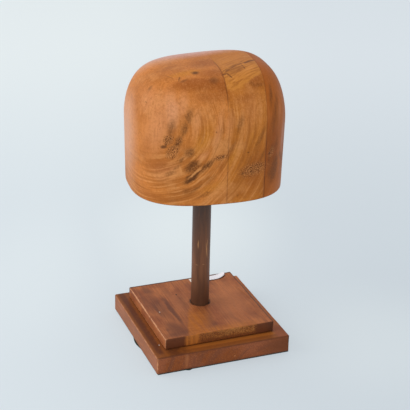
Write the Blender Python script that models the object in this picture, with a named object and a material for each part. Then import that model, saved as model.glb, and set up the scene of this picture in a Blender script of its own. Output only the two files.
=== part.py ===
"""A hat block that sits on a round post, over a stepped square plinth.

Lengths are metres and +Z is up. The origin is on the table, under the middle of the lower board.
The plinth's front edge runs along X, and its front faces -Y.
The block has its own frame: its origin is on the post's axis at the rim, and its length runs along its own X.
"""

import math

import bmesh
import bpy

# Air between two pieces that touch
GAP = 0.0003

# Baize under the plinth, trimmed a little proud of the board
BAIZE_THICKNESS = 0.0013
BAIZE_OVERHANG = 0.0004

# Lower board of the plinth
LOWER_WIDTH = 0.178
LOWER_DEPTH = 0.178
LOWER_THICKNESS = 0.023
LOWER_ARRIS = 0.0012

# Upper board of the plinth, which was fixed slightly off centre
UPPER_WIDTH = 0.1463
UPPER_DEPTH = 0.1486
UPPER_THICKNESS = 0.014
UPPER_ARRIS = 0.0010
UPPER_SHIFT_X = 0.0005
UPPER_SHIFT_Y = 0.0021

# Countersunk wood screws, driven up through the lower board into the upper one
SCREW_SHANK_DIAMETER = 0.0042
SCREW_HEAD_DIAMETER = 0.0084
SCREW_HEAD_EDGE = 0.0002
SCREW_HEAD_HEIGHT = 0.0024
SCREW_POINT_LENGTH = 0.0040
SCREW_POINT_DIAMETER = 0.0008
SCREW_SLOT_WIDTH = 0.0010
SCREW_SLOT_DEPTH = 0.0009
SCREW_BITE = 0.0080
SCREW_INSET = 0.018
SCREW_HOLE_CLEARANCE = 0.0003

# Post: a dowel that stands loose in a hole bored a little too wide
POST_DIAMETER = 0.024
POST_LENGTH = 0.2945
POST_CHAMFER = 0.0010
POST_X = 0.0032
POST_Y = 0.0085
POST_HOLE_CLEARANCE = 0.0005
POST_HOLE_FLOOR = 0.006

# Paper label stuck along the back of the upper board, worn round at its front right corner and peeling there
LABEL_LENGTH = 0.0525
LABEL_WIDTH = 0.0138
LABEL_THICKNESS = 0.0003
LABEL_PEEL_LENGTH = 0.016
LABEL_PEEL_RADIUS = 0.060
LABEL_CORNER_LENGTH = 0.020
LABEL_CORNER_DEPTH = 0.0125
LABEL_BACK_INSET = 0.0022
LABEL_RIGHT_INSET = 0.0105

# Block: a squared oval that widens a little up to the shoulder, then closes in a dome
RIM_LENGTH = 0.1900
RIM_WIDTH = 0.1650
RIM_ROUNDING = 0.0015
SHOULDER_LENGTH = 0.1934
SHOULDER_WIDTH = 0.1680
BLOCK_HEIGHT = 0.1546
DOME_HEIGHT = 0.0679
RIM_SQUARENESS = 2.70
TOP_SQUARENESS = 2.91
WALL_CURVE = 0.8
DOME_CURVE_ALONG = 5.87
DOME_CURVE_ACROSS = 4.41
DOME_CURVE_UP = 1.68
TOP_SLOPE = 0.061
BLOCK_TURN = math.radians(-6.3)

# Socket in the block's underside, which takes the head of the post
SOCKET_DEPTH = 0.090
SOCKET_CLEARANCE = 0.0004

# Glue joints of the block, as distances along its length
LEFT_JOINT = 0.0084
MIDDLE_PLANK_THICKNESS = 0.0488

# How finely the round shapes are divided
BLOCK_SEGMENTS = 64
ROUND_SEGMENTS = 48
SCREW_SEGMENTS = 20
ROUNDING_STEPS = 3
WALL_STEPS = 4
DOME_STEPS = 13
DOME_SPREAD = 2.5
ARRIS_STEPS = 2
LABEL_STEPS = 3
CORNER_STEPS = 8
SMOOTH_BELOW = math.radians(32)

# How far a cutter runs past the face it cuts
CUT_OVERSHOOT = 0.002

# Lengths that follow from the ones above
LOWER_BOTTOM = BAIZE_THICKNESS + GAP
LOWER_TOP = LOWER_BOTTOM + LOWER_THICKNESS
UPPER_BOTTOM = LOWER_TOP + GAP
UPPER_TOP = UPPER_BOTTOM + UPPER_THICKNESS
POST_HOLE_BOTTOM = LOWER_BOTTOM + POST_HOLE_FLOOR
POST_BOTTOM = POST_HOLE_BOTTOM + GAP
RIM_HEIGHT = POST_BOTTOM + POST_LENGTH + GAP - SOCKET_DEPTH
WALL_HEIGHT = BLOCK_HEIGHT - DOME_HEIGHT
SCREW_LENGTH = LOWER_THICKNESS + GAP + SCREW_BITE

# Colours in linear light
POST_BROWN = (0.075, 0.032, 0.019)
BLOCK_LEFT_BROWN = (0.47, 0.165, 0.045)
BLOCK_MIDDLE_BROWN = (0.40, 0.140, 0.035)
BLOCK_RIGHT_BROWN = (0.30, 0.080, 0.022)
UPPER_BROWN = (0.31, 0.092, 0.032)
LOWER_BROWN = (0.27, 0.075, 0.030)
BAIZE_GREEN = (0.012, 0.030, 0.018)
SCREW_GREY = (0.42, 0.40, 0.37)
PAPER_WHITE = (0.80, 0.80, 0.84)


def clear_scene():
    for old in list(bpy.data.objects):
        bpy.data.objects.remove(old, do_unlink=True)


def make_material(name, colour, roughness, metallic=0.0):
    material = bpy.data.materials.new(name)
    material.use_nodes = True
    shader = material.node_tree.nodes["Principled BSDF"]
    shader.inputs["Base Color"].default_value = (*colour, 1.0)
    shader.inputs["Roughness"].default_value = roughness
    shader.inputs["Metallic"].default_value = metallic
    return material


def link_object(name, data, parent=None, location=(0, 0, 0)):
    made = bpy.data.objects.new(name, data)
    made.location = location
    made.parent = parent
    bpy.context.scene.collection.objects.link(made)
    return made


def finish_mesh(bm, name, smooth=False):
    """Turns a bmesh into a mesh whose faces point outwards."""
    bmesh.ops.recalc_face_normals(bm, faces=bm.faces)
    mesh = bpy.data.meshes.new(name)
    bm.to_mesh(mesh)
    bm.free()
    if smooth:
        mesh.shade_smooth()
        mesh.set_sharp_from_angle(angle=SMOOTH_BELOW)
    return mesh


def box_mesh(name, width, depth, height):
    """A box centred on its own Z axis, standing on its own z = 0."""
    bm = bmesh.new()
    bmesh.ops.create_cube(bm, size=1.0)
    bmesh.ops.scale(bm, vec=(width, depth, height), verts=bm.verts)
    bmesh.ops.translate(bm, vec=(0, 0, height / 2), verts=bm.verts)
    return finish_mesh(bm, name)


def turned_mesh(name, profile, segments):
    """A solid turned about Z from (radius, height) points, listed from the bottom up."""
    bm = bmesh.new()
    rings = []
    for radius, height in profile:
        ring = []
        for i in range(segments):
            angle = 2 * math.pi * i / segments
            ring.append(bm.verts.new((radius * math.cos(angle), radius * math.sin(angle), height)))
        rings.append(ring)
    for below, above in zip(rings, rings[1:]):
        bridge(bm, below, above)
    bm.faces.new(rings[0])
    bm.faces.new(rings[-1])
    return finish_mesh(bm, name, smooth=True)


def bridge(bm, below, above):
    """Joins two rings of as many vertices with a band of four-sided faces."""
    count = len(below)
    for i in range(count):
        j = (i + 1) % count
        bm.faces.new((below[i], below[j], above[j], above[i]))


def hide_cutter(cutter):
    cutter.hide_render = True
    cutter.display_type = "WIRE"


def cut_from(target, cutter):
    cut = target.modifiers.new("cut_" + cutter.name, "BOOLEAN")
    cut.operation = "DIFFERENCE"
    cut.solver = "EXACT"
    cut.object = cutter


def ease_edges(target, width):
    """Takes the sharp arris off a board before any hole is cut."""
    bevel = target.modifiers.new("arris", "BEVEL")
    bevel.width = width
    bevel.segments = ARRIS_STEPS
    bevel.limit_method = "ANGLE"


def make_baize(material):
    width = LOWER_WIDTH + 2 * BAIZE_OVERHANG
    depth = LOWER_DEPTH + 2 * BAIZE_OVERHANG
    baize = link_object("baize_sheet", box_mesh("baize_sheet", width, depth, BAIZE_THICKNESS))
    baize.data.materials.append(material)


def make_lower_board(material, cutters):
    mesh = box_mesh("lower_board", LOWER_WIDTH, LOWER_DEPTH, LOWER_THICKNESS)
    board = link_object("lower_board", mesh, location=(0, 0, LOWER_BOTTOM))
    mesh.materials.append(material)
    ease_edges(board, LOWER_ARRIS)
    for cutter in cutters:
        cut_from(board, cutter)


def make_upper_board(material, cutters):
    mesh = box_mesh("upper_board", UPPER_WIDTH, UPPER_DEPTH, UPPER_THICKNESS)
    board = link_object("upper_board", mesh, location=(UPPER_SHIFT_X, UPPER_SHIFT_Y, UPPER_BOTTOM))
    mesh.materials.append(material)
    ease_edges(board, UPPER_ARRIS)
    for cutter in cutters:
        cut_from(board, cutter)


def post_hole_cutter():
    """Bores down through the upper board and most of the lower one."""
    radius = POST_DIAMETER / 2 + POST_HOLE_CLEARANCE
    height = UPPER_TOP + CUT_OVERSHOOT - POST_HOLE_BOTTOM
    mesh = turned_mesh("post_hole_cutter", [(radius, 0), (radius, height)], ROUND_SEGMENTS)
    cutter = link_object("post_hole_cutter", mesh, location=(POST_X, POST_Y, POST_HOLE_BOTTOM))
    hide_cutter(cutter)
    return cutter


def screw_places():
    """Centres of the four screws, named by the corner that each one is near."""
    x = UPPER_WIDTH / 2 - SCREW_INSET
    y = UPPER_DEPTH / 2 - SCREW_INSET
    corners = {"front_left": (-x, -y), "front_right": (x, -y), "back_left": (-x, y), "back_right": (x, y)}
    return {name: (UPPER_SHIFT_X + cx, UPPER_SHIFT_Y + cy) for name, (cx, cy) in corners.items()}


def screw_profile(clearance):
    """Outline of a screw from its head, at z = 0, up to its point, widened by a clearance."""
    head = SCREW_HEAD_DIAMETER / 2 + clearance
    shank = SCREW_SHANK_DIAMETER / 2 + clearance
    point = SCREW_POINT_DIAMETER / 2 + clearance
    return [
        (head, -clearance),
        (head, SCREW_HEAD_EDGE),
        (shank, SCREW_HEAD_HEIGHT),
        (shank, SCREW_LENGTH - SCREW_POINT_LENGTH),
        (point, SCREW_LENGTH + clearance),
    ]


def make_screw_cutters():
    mesh = turned_mesh("screw_hole_cutter", screw_profile(SCREW_HOLE_CLEARANCE), SCREW_SEGMENTS)
    cutters = []
    for name, (x, y) in screw_places().items():
        cutter = link_object("screw_hole_cutter_" + name, mesh, location=(x, y, LOWER_BOTTOM))
        hide_cutter(cutter)
        cutters.append(cutter)
    return cutters


def make_screws(material):
    """Four slotted screws, each with its head flush with the underside of the lower board."""
    mesh = turned_mesh("plinth_screw", screw_profile(0.0), SCREW_SEGMENTS)
    mesh.materials.append(material)
    slot_length = SCREW_HEAD_DIAMETER + 2 * CUT_OVERSHOOT
    slot_mesh = box_mesh("slot_cutter", slot_length, SCREW_SLOT_WIDTH, SCREW_SLOT_DEPTH + CUT_OVERSHOOT)
    for name, (x, y) in screw_places().items():
        screw = link_object("plinth_screw_" + name, mesh, location=(x, y, LOWER_BOTTOM))
        slot = link_object("slot_cutter_" + name, slot_mesh, screw, (0, 0, -CUT_OVERSHOOT))
        hide_cutter(slot)
        cut_from(screw, slot)


def make_post(material, post_axis):
    radius = POST_DIAMETER / 2
    profile = [
        (radius - POST_CHAMFER, 0),
        (radius, POST_CHAMFER),
        (radius, POST_LENGTH - POST_CHAMFER),
        (radius - POST_CHAMFER, POST_LENGTH),
    ]
    post = link_object("post", turned_mesh("post", profile, ROUND_SEGMENTS), post_axis)
    post.data.materials.append(material)


def label_front_edge():
    """Points (distance from the left end, how far the edge draws back), up to the end of the worn corner."""
    plain = LABEL_LENGTH - LABEL_CORNER_LENGTH
    edge = [(plain * i / LABEL_STEPS, 0.0) for i in range(LABEL_STEPS)]
    for i in range(CORNER_STEPS + 1):
        angle = math.pi / 2 * i / CORNER_STEPS
        along = plain + LABEL_CORNER_LENGTH * math.sin(angle)
        edge.append((along, LABEL_CORNER_DEPTH * (1 - math.cos(angle))))
    return edge


def label_lift(along):
    """Where a point of the flat label goes as its right end peels up: (x, z)."""
    flat = LABEL_LENGTH - LABEL_PEEL_LENGTH
    if along <= flat:
        return along, 0.0
    angle = (along - flat) / LABEL_PEEL_RADIUS
    return flat + LABEL_PEEL_RADIUS * math.sin(angle), LABEL_PEEL_RADIUS * (1 - math.cos(angle))


def make_label(material):
    bm = bmesh.new()
    pairs = []
    for along, draw_back in label_front_edge():
        x, z = label_lift(along)
        front = draw_back - LABEL_WIDTH / 2
        pairs.append((bm.verts.new((x, front, z)), bm.verts.new((x, LABEL_WIDTH / 2, z))))
    for (a_front, a_back), (b_front, b_back) in zip(pairs, pairs[1:]):
        bm.faces.new((a_front, b_front, b_back, a_back))
    end_x = label_lift(LABEL_LENGTH)[0]
    left = UPPER_SHIFT_X + UPPER_WIDTH / 2 - LABEL_RIGHT_INSET - end_x
    middle = UPPER_SHIFT_Y + UPPER_DEPTH / 2 - LABEL_BACK_INSET - LABEL_WIDTH / 2
    mesh = bpy.data.meshes.new("paper_label")
    bm.to_mesh(mesh)
    bm.free()
    mesh.materials.append(material)
    label = link_object("paper_label", mesh, location=(left, middle, UPPER_TOP + GAP))
    solid = label.modifiers.new("paper", "SOLIDIFY")
    solid.thickness = LABEL_THICKNESS
    solid.offset = 1.0


def oval_point(angle, half_length, half_width, squareness):
    """A point of the squared oval |x / half_length|^n + |y / half_width|^n = 1."""
    c, s = math.cos(angle), math.sin(angle)
    x = half_length * math.copysign(abs(c) ** (2 / squareness), c)
    y = half_width * math.copysign(abs(s) ** (2 / squareness), s)
    return x, y


def rounding_ring(share):
    """The small rounding of the rim, from the underside (share 0) to the wall (share 1)."""
    angle = math.pi / 2 * share
    inset = RIM_ROUNDING * (1 - math.sin(angle))
    height = RIM_ROUNDING * (1 - math.cos(angle))
    return RIM_LENGTH / 2 - inset, RIM_WIDTH / 2 - inset, RIM_SQUARENESS, height, 0.0


def wall_ring(share):
    """The wall, from the rim (share 0) to the shoulder (share 1)."""
    spread = share**WALL_CURVE
    half_length = (RIM_LENGTH + (SHOULDER_LENGTH - RIM_LENGTH) * spread) / 2
    half_width = (RIM_WIDTH + (SHOULDER_WIDTH - RIM_WIDTH) * spread) / 2
    height = RIM_ROUNDING + (WALL_HEIGHT - RIM_ROUNDING) * share
    return half_length, half_width, RIM_SQUARENESS, height, 0.0


def dome_ring(share):
    """The dome, from the shoulder (share 0) towards its top point (share 1)."""
    reach = (1 - share**2) ** DOME_SPREAD
    rise = math.sin(math.acos(reach))
    half_length = SHOULDER_LENGTH / 2 * reach ** (2 / DOME_CURVE_ALONG)
    half_width = SHOULDER_WIDTH / 2 * reach ** (2 / DOME_CURVE_ACROSS)
    squareness = RIM_SQUARENESS + (TOP_SQUARENESS - RIM_SQUARENESS) * rise
    lift = rise ** (2 / DOME_CURVE_UP)
    return half_length, half_width, squareness, WALL_HEIGHT + DOME_HEIGHT * lift, TOP_SLOPE * lift


def block_rings():
    rings = [rounding_ring(i / ROUNDING_STEPS) for i in range(ROUNDING_STEPS + 1)]
    rings += [wall_ring(i / WALL_STEPS) for i in range(1, WALL_STEPS + 1)]
    rings += [dome_ring(i / DOME_STEPS) for i in range(1, DOME_STEPS)]
    return rings


def whole_block():
    """The block as one solid in its own frame, before it is parted at its glue joints."""
    bm = bmesh.new()
    rings = []
    for half_length, half_width, squareness, height, slope in block_rings():
        ring = []
        for i in range(BLOCK_SEGMENTS):
            angle = 2 * math.pi * i / BLOCK_SEGMENTS
            x, y = oval_point(angle, half_length, half_width, squareness)
            ring.append(bm.verts.new((x, y, height + slope * x)))
        rings.append(ring)
    for below, above in zip(rings, rings[1:]):
        bridge(bm, below, above)
    bm.faces.new(rings[0])
    top = bm.verts.new((0, 0, BLOCK_HEIGHT))
    for i in range(BLOCK_SEGMENTS):
        bm.faces.new((rings[-1][i], rings[-1][(i + 1) % BLOCK_SEGMENTS], top))
    bmesh.ops.recalc_face_normals(bm, faces=bm.faces)
    return bm


def saw_off(bm, x, keep_left):
    """Cuts the block across its length at x, keeps one side and closes the cut."""
    everything = bm.verts[:] + bm.edges[:] + bm.faces[:]
    cut = bmesh.ops.bisect_plane(
        bm,
        geom=everything,
        dist=1e-7,
        plane_co=(x, 0, 0),
        plane_no=(1, 0, 0),
        clear_outer=keep_left,
        clear_inner=not keep_left,
    )
    rim = [e for e in cut["geom_cut"] if isinstance(e, bmesh.types.BMEdge)]
    bmesh.ops.holes_fill(bm, edges=rim, sides=0)


def make_block_piece(name, low_x, high_x, material, block_axis, socket):
    """One glued piece of the block, between two glue joints or out to an end."""
    bm = whole_block()
    if low_x is not None:
        saw_off(bm, low_x + GAP / 2, keep_left=False)
    if high_x is not None:
        saw_off(bm, high_x - GAP / 2, keep_left=True)
    piece = link_object(name, finish_mesh(bm, name, smooth=True), block_axis)
    piece.data.materials.append(material)
    cut_from(piece, socket)


def socket_cutter(block_axis):
    radius = POST_DIAMETER / 2 + SOCKET_CLEARANCE
    height = SOCKET_DEPTH + CUT_OVERSHOOT
    mesh = turned_mesh("socket_cutter", [(radius, 0), (radius, height)], ROUND_SEGMENTS)
    cutter = link_object("socket_cutter", mesh, block_axis, (0, 0, -CUT_OVERSHOOT))
    hide_cutter(cutter)
    return cutter


def make_block(block_axis):
    socket = socket_cutter(block_axis)
    right_joint = LEFT_JOINT + MIDDLE_PLANK_THICKNESS
    left = make_material("block_left", BLOCK_LEFT_BROWN, 0.42)
    middle = make_material("block_middle", BLOCK_MIDDLE_BROWN, 0.42)
    right = make_material("block_right", BLOCK_RIGHT_BROWN, 0.42)
    make_block_piece("block_left_piece", None, LEFT_JOINT, left, block_axis, socket)
    make_block_piece("block_middle_plank", LEFT_JOINT, right_joint, middle, block_axis, socket)
    make_block_piece("block_right_strip", right_joint, None, right, block_axis, socket)


def main():
    clear_scene()

    # The post turns about this empty's Z, and the block slides off along it
    post_axis = link_object("post_axis", None, location=(POST_X, POST_Y, POST_BOTTOM))
    block_axis = link_object("block_axis", None, post_axis, (0, 0, RIM_HEIGHT - POST_BOTTOM))
    block_axis.rotation_euler = (0, 0, BLOCK_TURN)

    cutters = [post_hole_cutter()] + make_screw_cutters()
    make_baize(make_material("baize", BAIZE_GREEN, 0.95))
    make_lower_board(make_material("lower_board", LOWER_BROWN, 0.45), cutters)
    make_upper_board(make_material("upper_board", UPPER_BROWN, 0.40), cutters)
    make_screws(make_material("screw_steel", SCREW_GREY, 0.35, metallic=1.0))
    make_label(make_material("label_paper", PAPER_WHITE, 0.80))
    make_post(make_material("post_wood", POST_BROWN, 0.50), post_axis)
    make_block(block_axis)


main()
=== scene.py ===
"""The looks of a waxed wooden hat block on its post and stepped plinth.

Meshes are in metres, in the frame's own axes: +Z is up and the plinth's front faces -Y.
Patterns in the materials are laid out in millimetres, from Object coordinates.
"""

import math

import bmesh
import bpy
from mathutils import Euler, Matrix, Vector, noise


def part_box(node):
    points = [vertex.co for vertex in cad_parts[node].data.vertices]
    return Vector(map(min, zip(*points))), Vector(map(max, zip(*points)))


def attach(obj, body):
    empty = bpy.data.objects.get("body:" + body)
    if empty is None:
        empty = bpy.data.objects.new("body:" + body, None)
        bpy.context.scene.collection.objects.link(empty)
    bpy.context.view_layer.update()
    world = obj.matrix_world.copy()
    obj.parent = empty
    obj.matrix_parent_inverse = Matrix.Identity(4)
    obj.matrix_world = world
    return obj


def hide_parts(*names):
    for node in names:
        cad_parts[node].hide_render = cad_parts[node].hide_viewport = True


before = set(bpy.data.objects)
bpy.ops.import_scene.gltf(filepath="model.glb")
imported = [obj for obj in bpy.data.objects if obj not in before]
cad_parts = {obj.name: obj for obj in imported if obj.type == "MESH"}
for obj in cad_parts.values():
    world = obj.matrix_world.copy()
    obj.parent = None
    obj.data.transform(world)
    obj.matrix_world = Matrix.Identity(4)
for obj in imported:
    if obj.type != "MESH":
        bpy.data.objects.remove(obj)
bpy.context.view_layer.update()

MM = 0.001
ZERO = (0.0, 0.0, 0.0)

# Block: a squared oval that widens up to the shoulder, then closes in a dome
RIM_LENGTH = 0.1900
RIM_WIDTH = 0.1650
RIM_ROUNDING = 0.0015
SHOULDER_LENGTH = 0.1934
SHOULDER_WIDTH = 0.1680
BLOCK_HEIGHT = 0.1546
DOME_HEIGHT = 0.0679
RIM_SQUARENESS = 2.70
TOP_SQUARENESS = 2.91
WALL_CURVE = 0.8
DOME_CURVE_ALONG = 5.87
DOME_CURVE_ACROSS = 4.41
DOME_CURVE_UP = 1.68
DOME_SPREAD = 2.5
TOP_SLOPE = 0.061
BLOCK_TURN = math.radians(-6.3)
BLOCK_UNEVENNESS = 0.0003
BLOCK_UNEVEN_SCALE = 22.0

# Half the length that the block's wood is laid out over, in millimetres
BLOCK_REACH = 100.0

# Glue joints of the block, as distances along its length, and how far their edges are eased
LEFT_JOINT = 0.0084
RIGHT_JOINT = 0.0572
JOINT_GAP = 0.0001
JOINT_EASE_WIDTH = 0.00025
JOINT_EASE_DEPTH = 0.00012

# Socket in the block and hole in the plinth, both a little wider than the post
SOCKET_DEPTH = 0.090
SOCKET_CLEARANCE = 0.0004
POST_HOLE_CLEARANCE = 0.0005
POST_HOLE_FLOOR = 0.006
POST_CHAMFER = 0.0010
POST_UNEVENNESS = 0.00012

# How fast the post's unevenness changes round it, and up it in bumps per metre
UNEVEN_ROUND = 0.7
UNEVEN_UP = 28.0

# Boards of the plinth: how round their arrises are, and how fine the wear and the nibbles along them are
LOWER_ARRIS = 0.0015
UPPER_ARRIS = 0.0013
ARRIS_WEAR_SCALE = 70.0
NIBBLE_SCALE = 260.0

# Screws under the plinth
SCREW_SHANK_RADIUS = 0.0021
SCREW_HEAD_RADIUS = 0.0042
SCREW_HEAD_EDGE = 0.0002
SCREW_HEAD_HEIGHT = 0.0024
SCREW_POINT_LENGTH = 0.0040
SCREW_POINT_RADIUS = 0.0004
SCREW_THREAD_PITCH = 0.0017
SCREW_THREAD_DEPTH = 0.0005
SCREW_THREAD_START = 0.011
SCREW_THREAD_RUNOUT = 0.002
SCREW_SLOT_WIDTH = 0.0010
SCREW_SLOT_DEPTH = 0.0009
SCREW_HOLE_CLEARANCE = 0.0003

# Paper label, peeling at its right end, which is worn round
LABEL_LENGTH = 0.0525
LABEL_PEEL_LENGTH = 0.016
LABEL_PEEL_RADIUS = 0.060
LABEL_CORNER_LENGTH = 0.020
LABEL_CORNER_DEPTH = 0.0125
LABEL_THICKNESS = 0.0003
LABEL_BACK_DRAW = 0.0026
LABEL_COLUMNS = 8

# Baize, cut square, which bulges out from under the left side and shows in one place under the front
BAIZE_BULGE = 0.0007
BAIZE_BULGE_MIDDLE = -0.005
BAIZE_BULGE_HALF_LENGTH = 0.020
BAIZE_TUCK = 0.0019
BAIZE_TUCK_REACH = 0.012
BAIZE_EDGE_SHARE = 0.35
BAIZE_NIBBLING = 0.0001
BAIZE_SLIVER_MIDDLE = -0.0465
BAIZE_SLIVER_HALF_LENGTH = 0.005

# How far a cutter runs past the face it cuts, and how near a cut a point counts as on it
CUT_OVERSHOOT = 0.002
CUT_TOLERANCE = 1e-7

# Angles in degrees past which an edge of a piece stays sharp in the shading
BLOCK_SHARP_ANGLE = 38
POST_SHARP_ANGLE = 30
BOARD_SHARP_ANGLE = 40
SCREW_SHARP_ANGLE = 35

# How finely the shapes are divided
BLOCK_SEGMENTS = 288
UNDER_RINGS = 6
ROUNDING_RINGS = 5
WALL_RINGS = 26
DOME_RINGS = 54
POST_SEGMENTS = 96
POST_RINGS = 150
SCREW_SEGMENTS = 24
SCREW_RINGS = 120
BOARD_STEPS = 132
BOARD_THICKNESS_STEPS = 24
ARRIS_STEPS = 5
LABEL_STEPS = 40
HOLE_SEGMENTS = 96

# Camera, solved from the plinth's corners in the photograph
PHOTO_PIXELS = 410
FOCAL_PIXELS = 1184.0
SENSOR_WIDTH = 36.0
VIEW_AZIMUTH = math.radians(-21.47)
VIEW_ELEVATION = math.radians(23.61)
VIEW_ROLL = math.radians(1.37)
VIEW_DISTANCE = 1.4934
VIEW_TARGET = Vector((0.00395, 0.0, 0.1805))
VIEW_REACH = 50.0

# Soft lamps, as (place, side, power, colour), and the point they all face
SOFTBOXES = {
    "left_softbox": ((-3.0, 1.0, 2.0), 3.0, 58.0, (1.0, 0.98, 0.96)),
    "front_softbox": ((-1.2, -3.2, 2.2), 2.2, 36.0, (1.0, 0.99, 0.98)),
    "top_softbox": ((0.3, 1.0, 3.0), 2.0, 6.0, (0.97, 0.99, 1.0)),
}
LAMP_TARGET = Vector((0.0, 0.0, 0.2))

# The even light from all round, and the colour past the floor's edge, where that is in view
WORLD_LIGHT = (0.601, 0.608, 0.620)
WORLD_SEEN = (0.708, 0.760, 0.783)

# Colours in linear light
BLOCK_ORANGE = (0.595, 0.195, 0.034)
BLOCK_PLANK = (0.515, 0.165, 0.018)
BLOCK_STRIP = (0.415, 0.105, 0.008)
STRIP_PALE = (0.500, 0.150, 0.030)
BLOCK_GOLD = (0.590, 0.210, 0.014)
# Pink: partly the wood's own tone, partly painted sheen and highlight
BLOCK_PINK_AND_SHEEN = (0.720, 0.300, 0.125)
BLOCK_PALE = (0.700, 0.290, 0.085)
BLOCK_BROWN = (0.290, 0.078, 0.006)
BLOCK_RED = (0.280, 0.062, 0.003)
# Painted sheen: a pale pink reflection
BLOCK_PAINTED_SHEEN = (0.690, 0.375, 0.315)
BLOCK_OCHRE = (0.580, 0.215, 0.032)
PATCH_BROWN = (0.300, 0.095, 0.012)
# Stains, and painted shade along the block's rim
STAIN_AND_SHADE_BROWN = (0.150, 0.045, 0.006)
SEAM_BROWN = (0.110, 0.030, 0.006)
CRACK_BROWN = (0.145, 0.040, 0.005)
KNOT_BROWN = (0.070, 0.020, 0.003)
BOARD_RED = (0.460, 0.150, 0.048)
BOARD_MID = (0.245, 0.060, 0.010)
BOARD_BROWN = (0.300, 0.085, 0.030)
BOARD_ORANGE = (0.560, 0.210, 0.075)
BOARD_PALE = (0.560, 0.195, 0.070)
BOARD_DARK = (0.150, 0.050, 0.026)
BOARD_AMBER = (0.490, 0.157, 0.024)
FRONT_DARK = (0.100, 0.027, 0.010)
FRONT_ORANGE = (0.330, 0.100, 0.016)
FRONT_GOLD = (0.440, 0.180, 0.045)
# Painted highlight along the arrises that face the light
ARRIS_HIGHLIGHT = (0.700, 0.340, 0.170)
SPECK_WHITE = (0.75, 0.68, 0.58)
# Painted shade in the gap beside the post
GAP_SHADE_BLACK = (0.004, 0.003, 0.002)
LEDGE_BROWN = (0.150, 0.045, 0.013)
BOARD_RUSSET = (0.150, 0.042, 0.012)
# Dirt, and painted shade in corners, along edges and low down
DIRT_AND_SHADE_BROWN = (0.040, 0.017, 0.010)
POST_BROWN = (0.180, 0.066, 0.025)
POST_GREY = (0.068, 0.036, 0.024)
POST_RED = (0.230, 0.090, 0.036)
POST_BARE = (0.420, 0.200, 0.075)
BAIZE_GREEN = (0.006, 0.015, 0.009)
BAIZE_WORN = (0.014, 0.026, 0.016)
STEEL_GREY = (0.42, 0.40, 0.37)
RUST_BROWN = (0.17, 0.065, 0.025)
PAPER_WHITE = (0.95, 0.94, 0.99)
PAPER_CREAM = (0.93, 0.82, 0.70)
PAPER_YELLOW = (0.66, 0.60, 0.50)
FLOOR_FAR_LEFT = (0.890, 0.960, 0.980)
FLOOR_FAR_RIGHT = (0.810, 0.880, 0.930)
FLOOR_NEAR_LEFT = (0.775, 0.855, 0.905)
FLOOR_NEAR_RIGHT = (0.690, 0.765, 0.820)
# Painted light on the floor
FLOOR_PAINTED_LIGHT = (0.90, 0.98, 1.00)

# Depth in metres of the fine relief in each kind of surface
BLOCK_RELIEF = 0.00005
STAND_RELIEF = 0.00007
BAIZE_RELIEF = 0.0003
STEEL_RELIEF = 0.00003
PAPER_RELIEF = 0.00005

# Where the floor's painted change of light begins and ends, in millimetres across and into the picture
FLOOR_LEFT_END = -300.0
FLOOR_RIGHT_END = 300.0
FLOOR_NEAR_END = 100.0
FLOOR_FAR_END = 1400.0

# Painted pools of light on the floor, which offset part of the object's shadow, as lay_spots takes them:
# behind the stand, right of it and left of it
FLOOR_PAINTED_LIGHT_AREAS = [
    ((-20.0, 320.0, 0.0), ZERO, (190.0, 300.0, 50.0), 0.1, 0.68),
    ((235.0, -10.0, 0.0), ZERO, (190.0, 200.0, 50.0), 0.1, 0.30),
    ((-240.0, 160.0, 0.0), ZERO, (150.0, 330.0, 50.0), 0.1, 0.28),
]

# Half the floor's side, the share of its brightness that is its own, and the light that falls on it
FLOOR_HALF_SIDE = 9.0
FLOOR_GLOW = 0.69
FLOOR_LIGHT_LEVEL = 0.86


# Places and half sizes of CAD nodes, in metres


def box_middle(node):
    low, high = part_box(node)
    return (low + high) / 2


def box_foot(node):
    """The middle of a node's underside."""
    low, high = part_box(node)
    return Vector(((low.x + high.x) / 2, (low.y + high.y) / 2, low.z))


def box_half(node):
    low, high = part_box(node)
    return (high - low) / 2


def post_axis():
    """The middle of the post's foot, and its length and radius."""
    low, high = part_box("post")
    return box_foot("post"), high.z - low.z, (high.x - low.x) / 2


# Nodes, and the wires between them


class Wire:
    """The value that leaves a node, which sums and products can use like a number."""

    def __init__(self, tree, socket):
        self.tree = tree
        self.socket = socket

    def __add__(self, other):
        return maths(self.tree, "ADD", self, other)

    def __sub__(self, other):
        return maths(self.tree, "SUBTRACT", self, other)

    def __rsub__(self, other):
        return maths(self.tree, "SUBTRACT", other, self)

    def __mul__(self, other):
        return maths(self.tree, "MULTIPLY", self, other)

    def __truediv__(self, other):
        return maths(self.tree, "DIVIDE", self, other)

    def __rtruediv__(self, other):
        return maths(self.tree, "DIVIDE", other, self)

    def __pow__(self, other):
        return maths(self.tree, "POWER", self, other)

    def __abs__(self):
        return maths(self.tree, "ABSOLUTE", self)

    __radd__ = __add__
    __rmul__ = __mul__


def feed(tree, slot, value):
    """Sets a node's input, from a wire or from a plain value."""
    if isinstance(value, Wire):
        tree.links.new(value.socket, slot)
    elif slot.type == "RGBA" and len(value) == 3:
        slot.default_value = (*value, 1.0)
    else:
        slot.default_value = value


def add(tree, kind, inputs, **properties):
    """Adds a node, sets its properties and feeds its named or numbered inputs."""
    node = tree.nodes.new(kind)
    for name, value in properties.items():
        setattr(node, name, value)
    for name, value in inputs.items():
        feed(tree, node.inputs[name], value)
    return node


def wire_from(tree, kind, inputs=None, output=0, **properties):
    """Adds a node, as add does, and returns one of its outputs as a wire."""
    return Wire(tree, add(tree, kind, inputs or {}, **properties).outputs[output])


def maths(tree, operation, *values, clamp=False):
    return wire_from(tree, "ShaderNodeMath", dict(enumerate(values)), operation=operation, use_clamp=clamp)


def clamped(value):
    return maths(value.tree, "ADD", value, 0.0, clamp=True)


def larger(first, second):
    return maths(first.tree, "MAXIMUM", first, second)


def smaller(first, second):
    return maths(first.tree, "MINIMUM", first, second)


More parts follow.
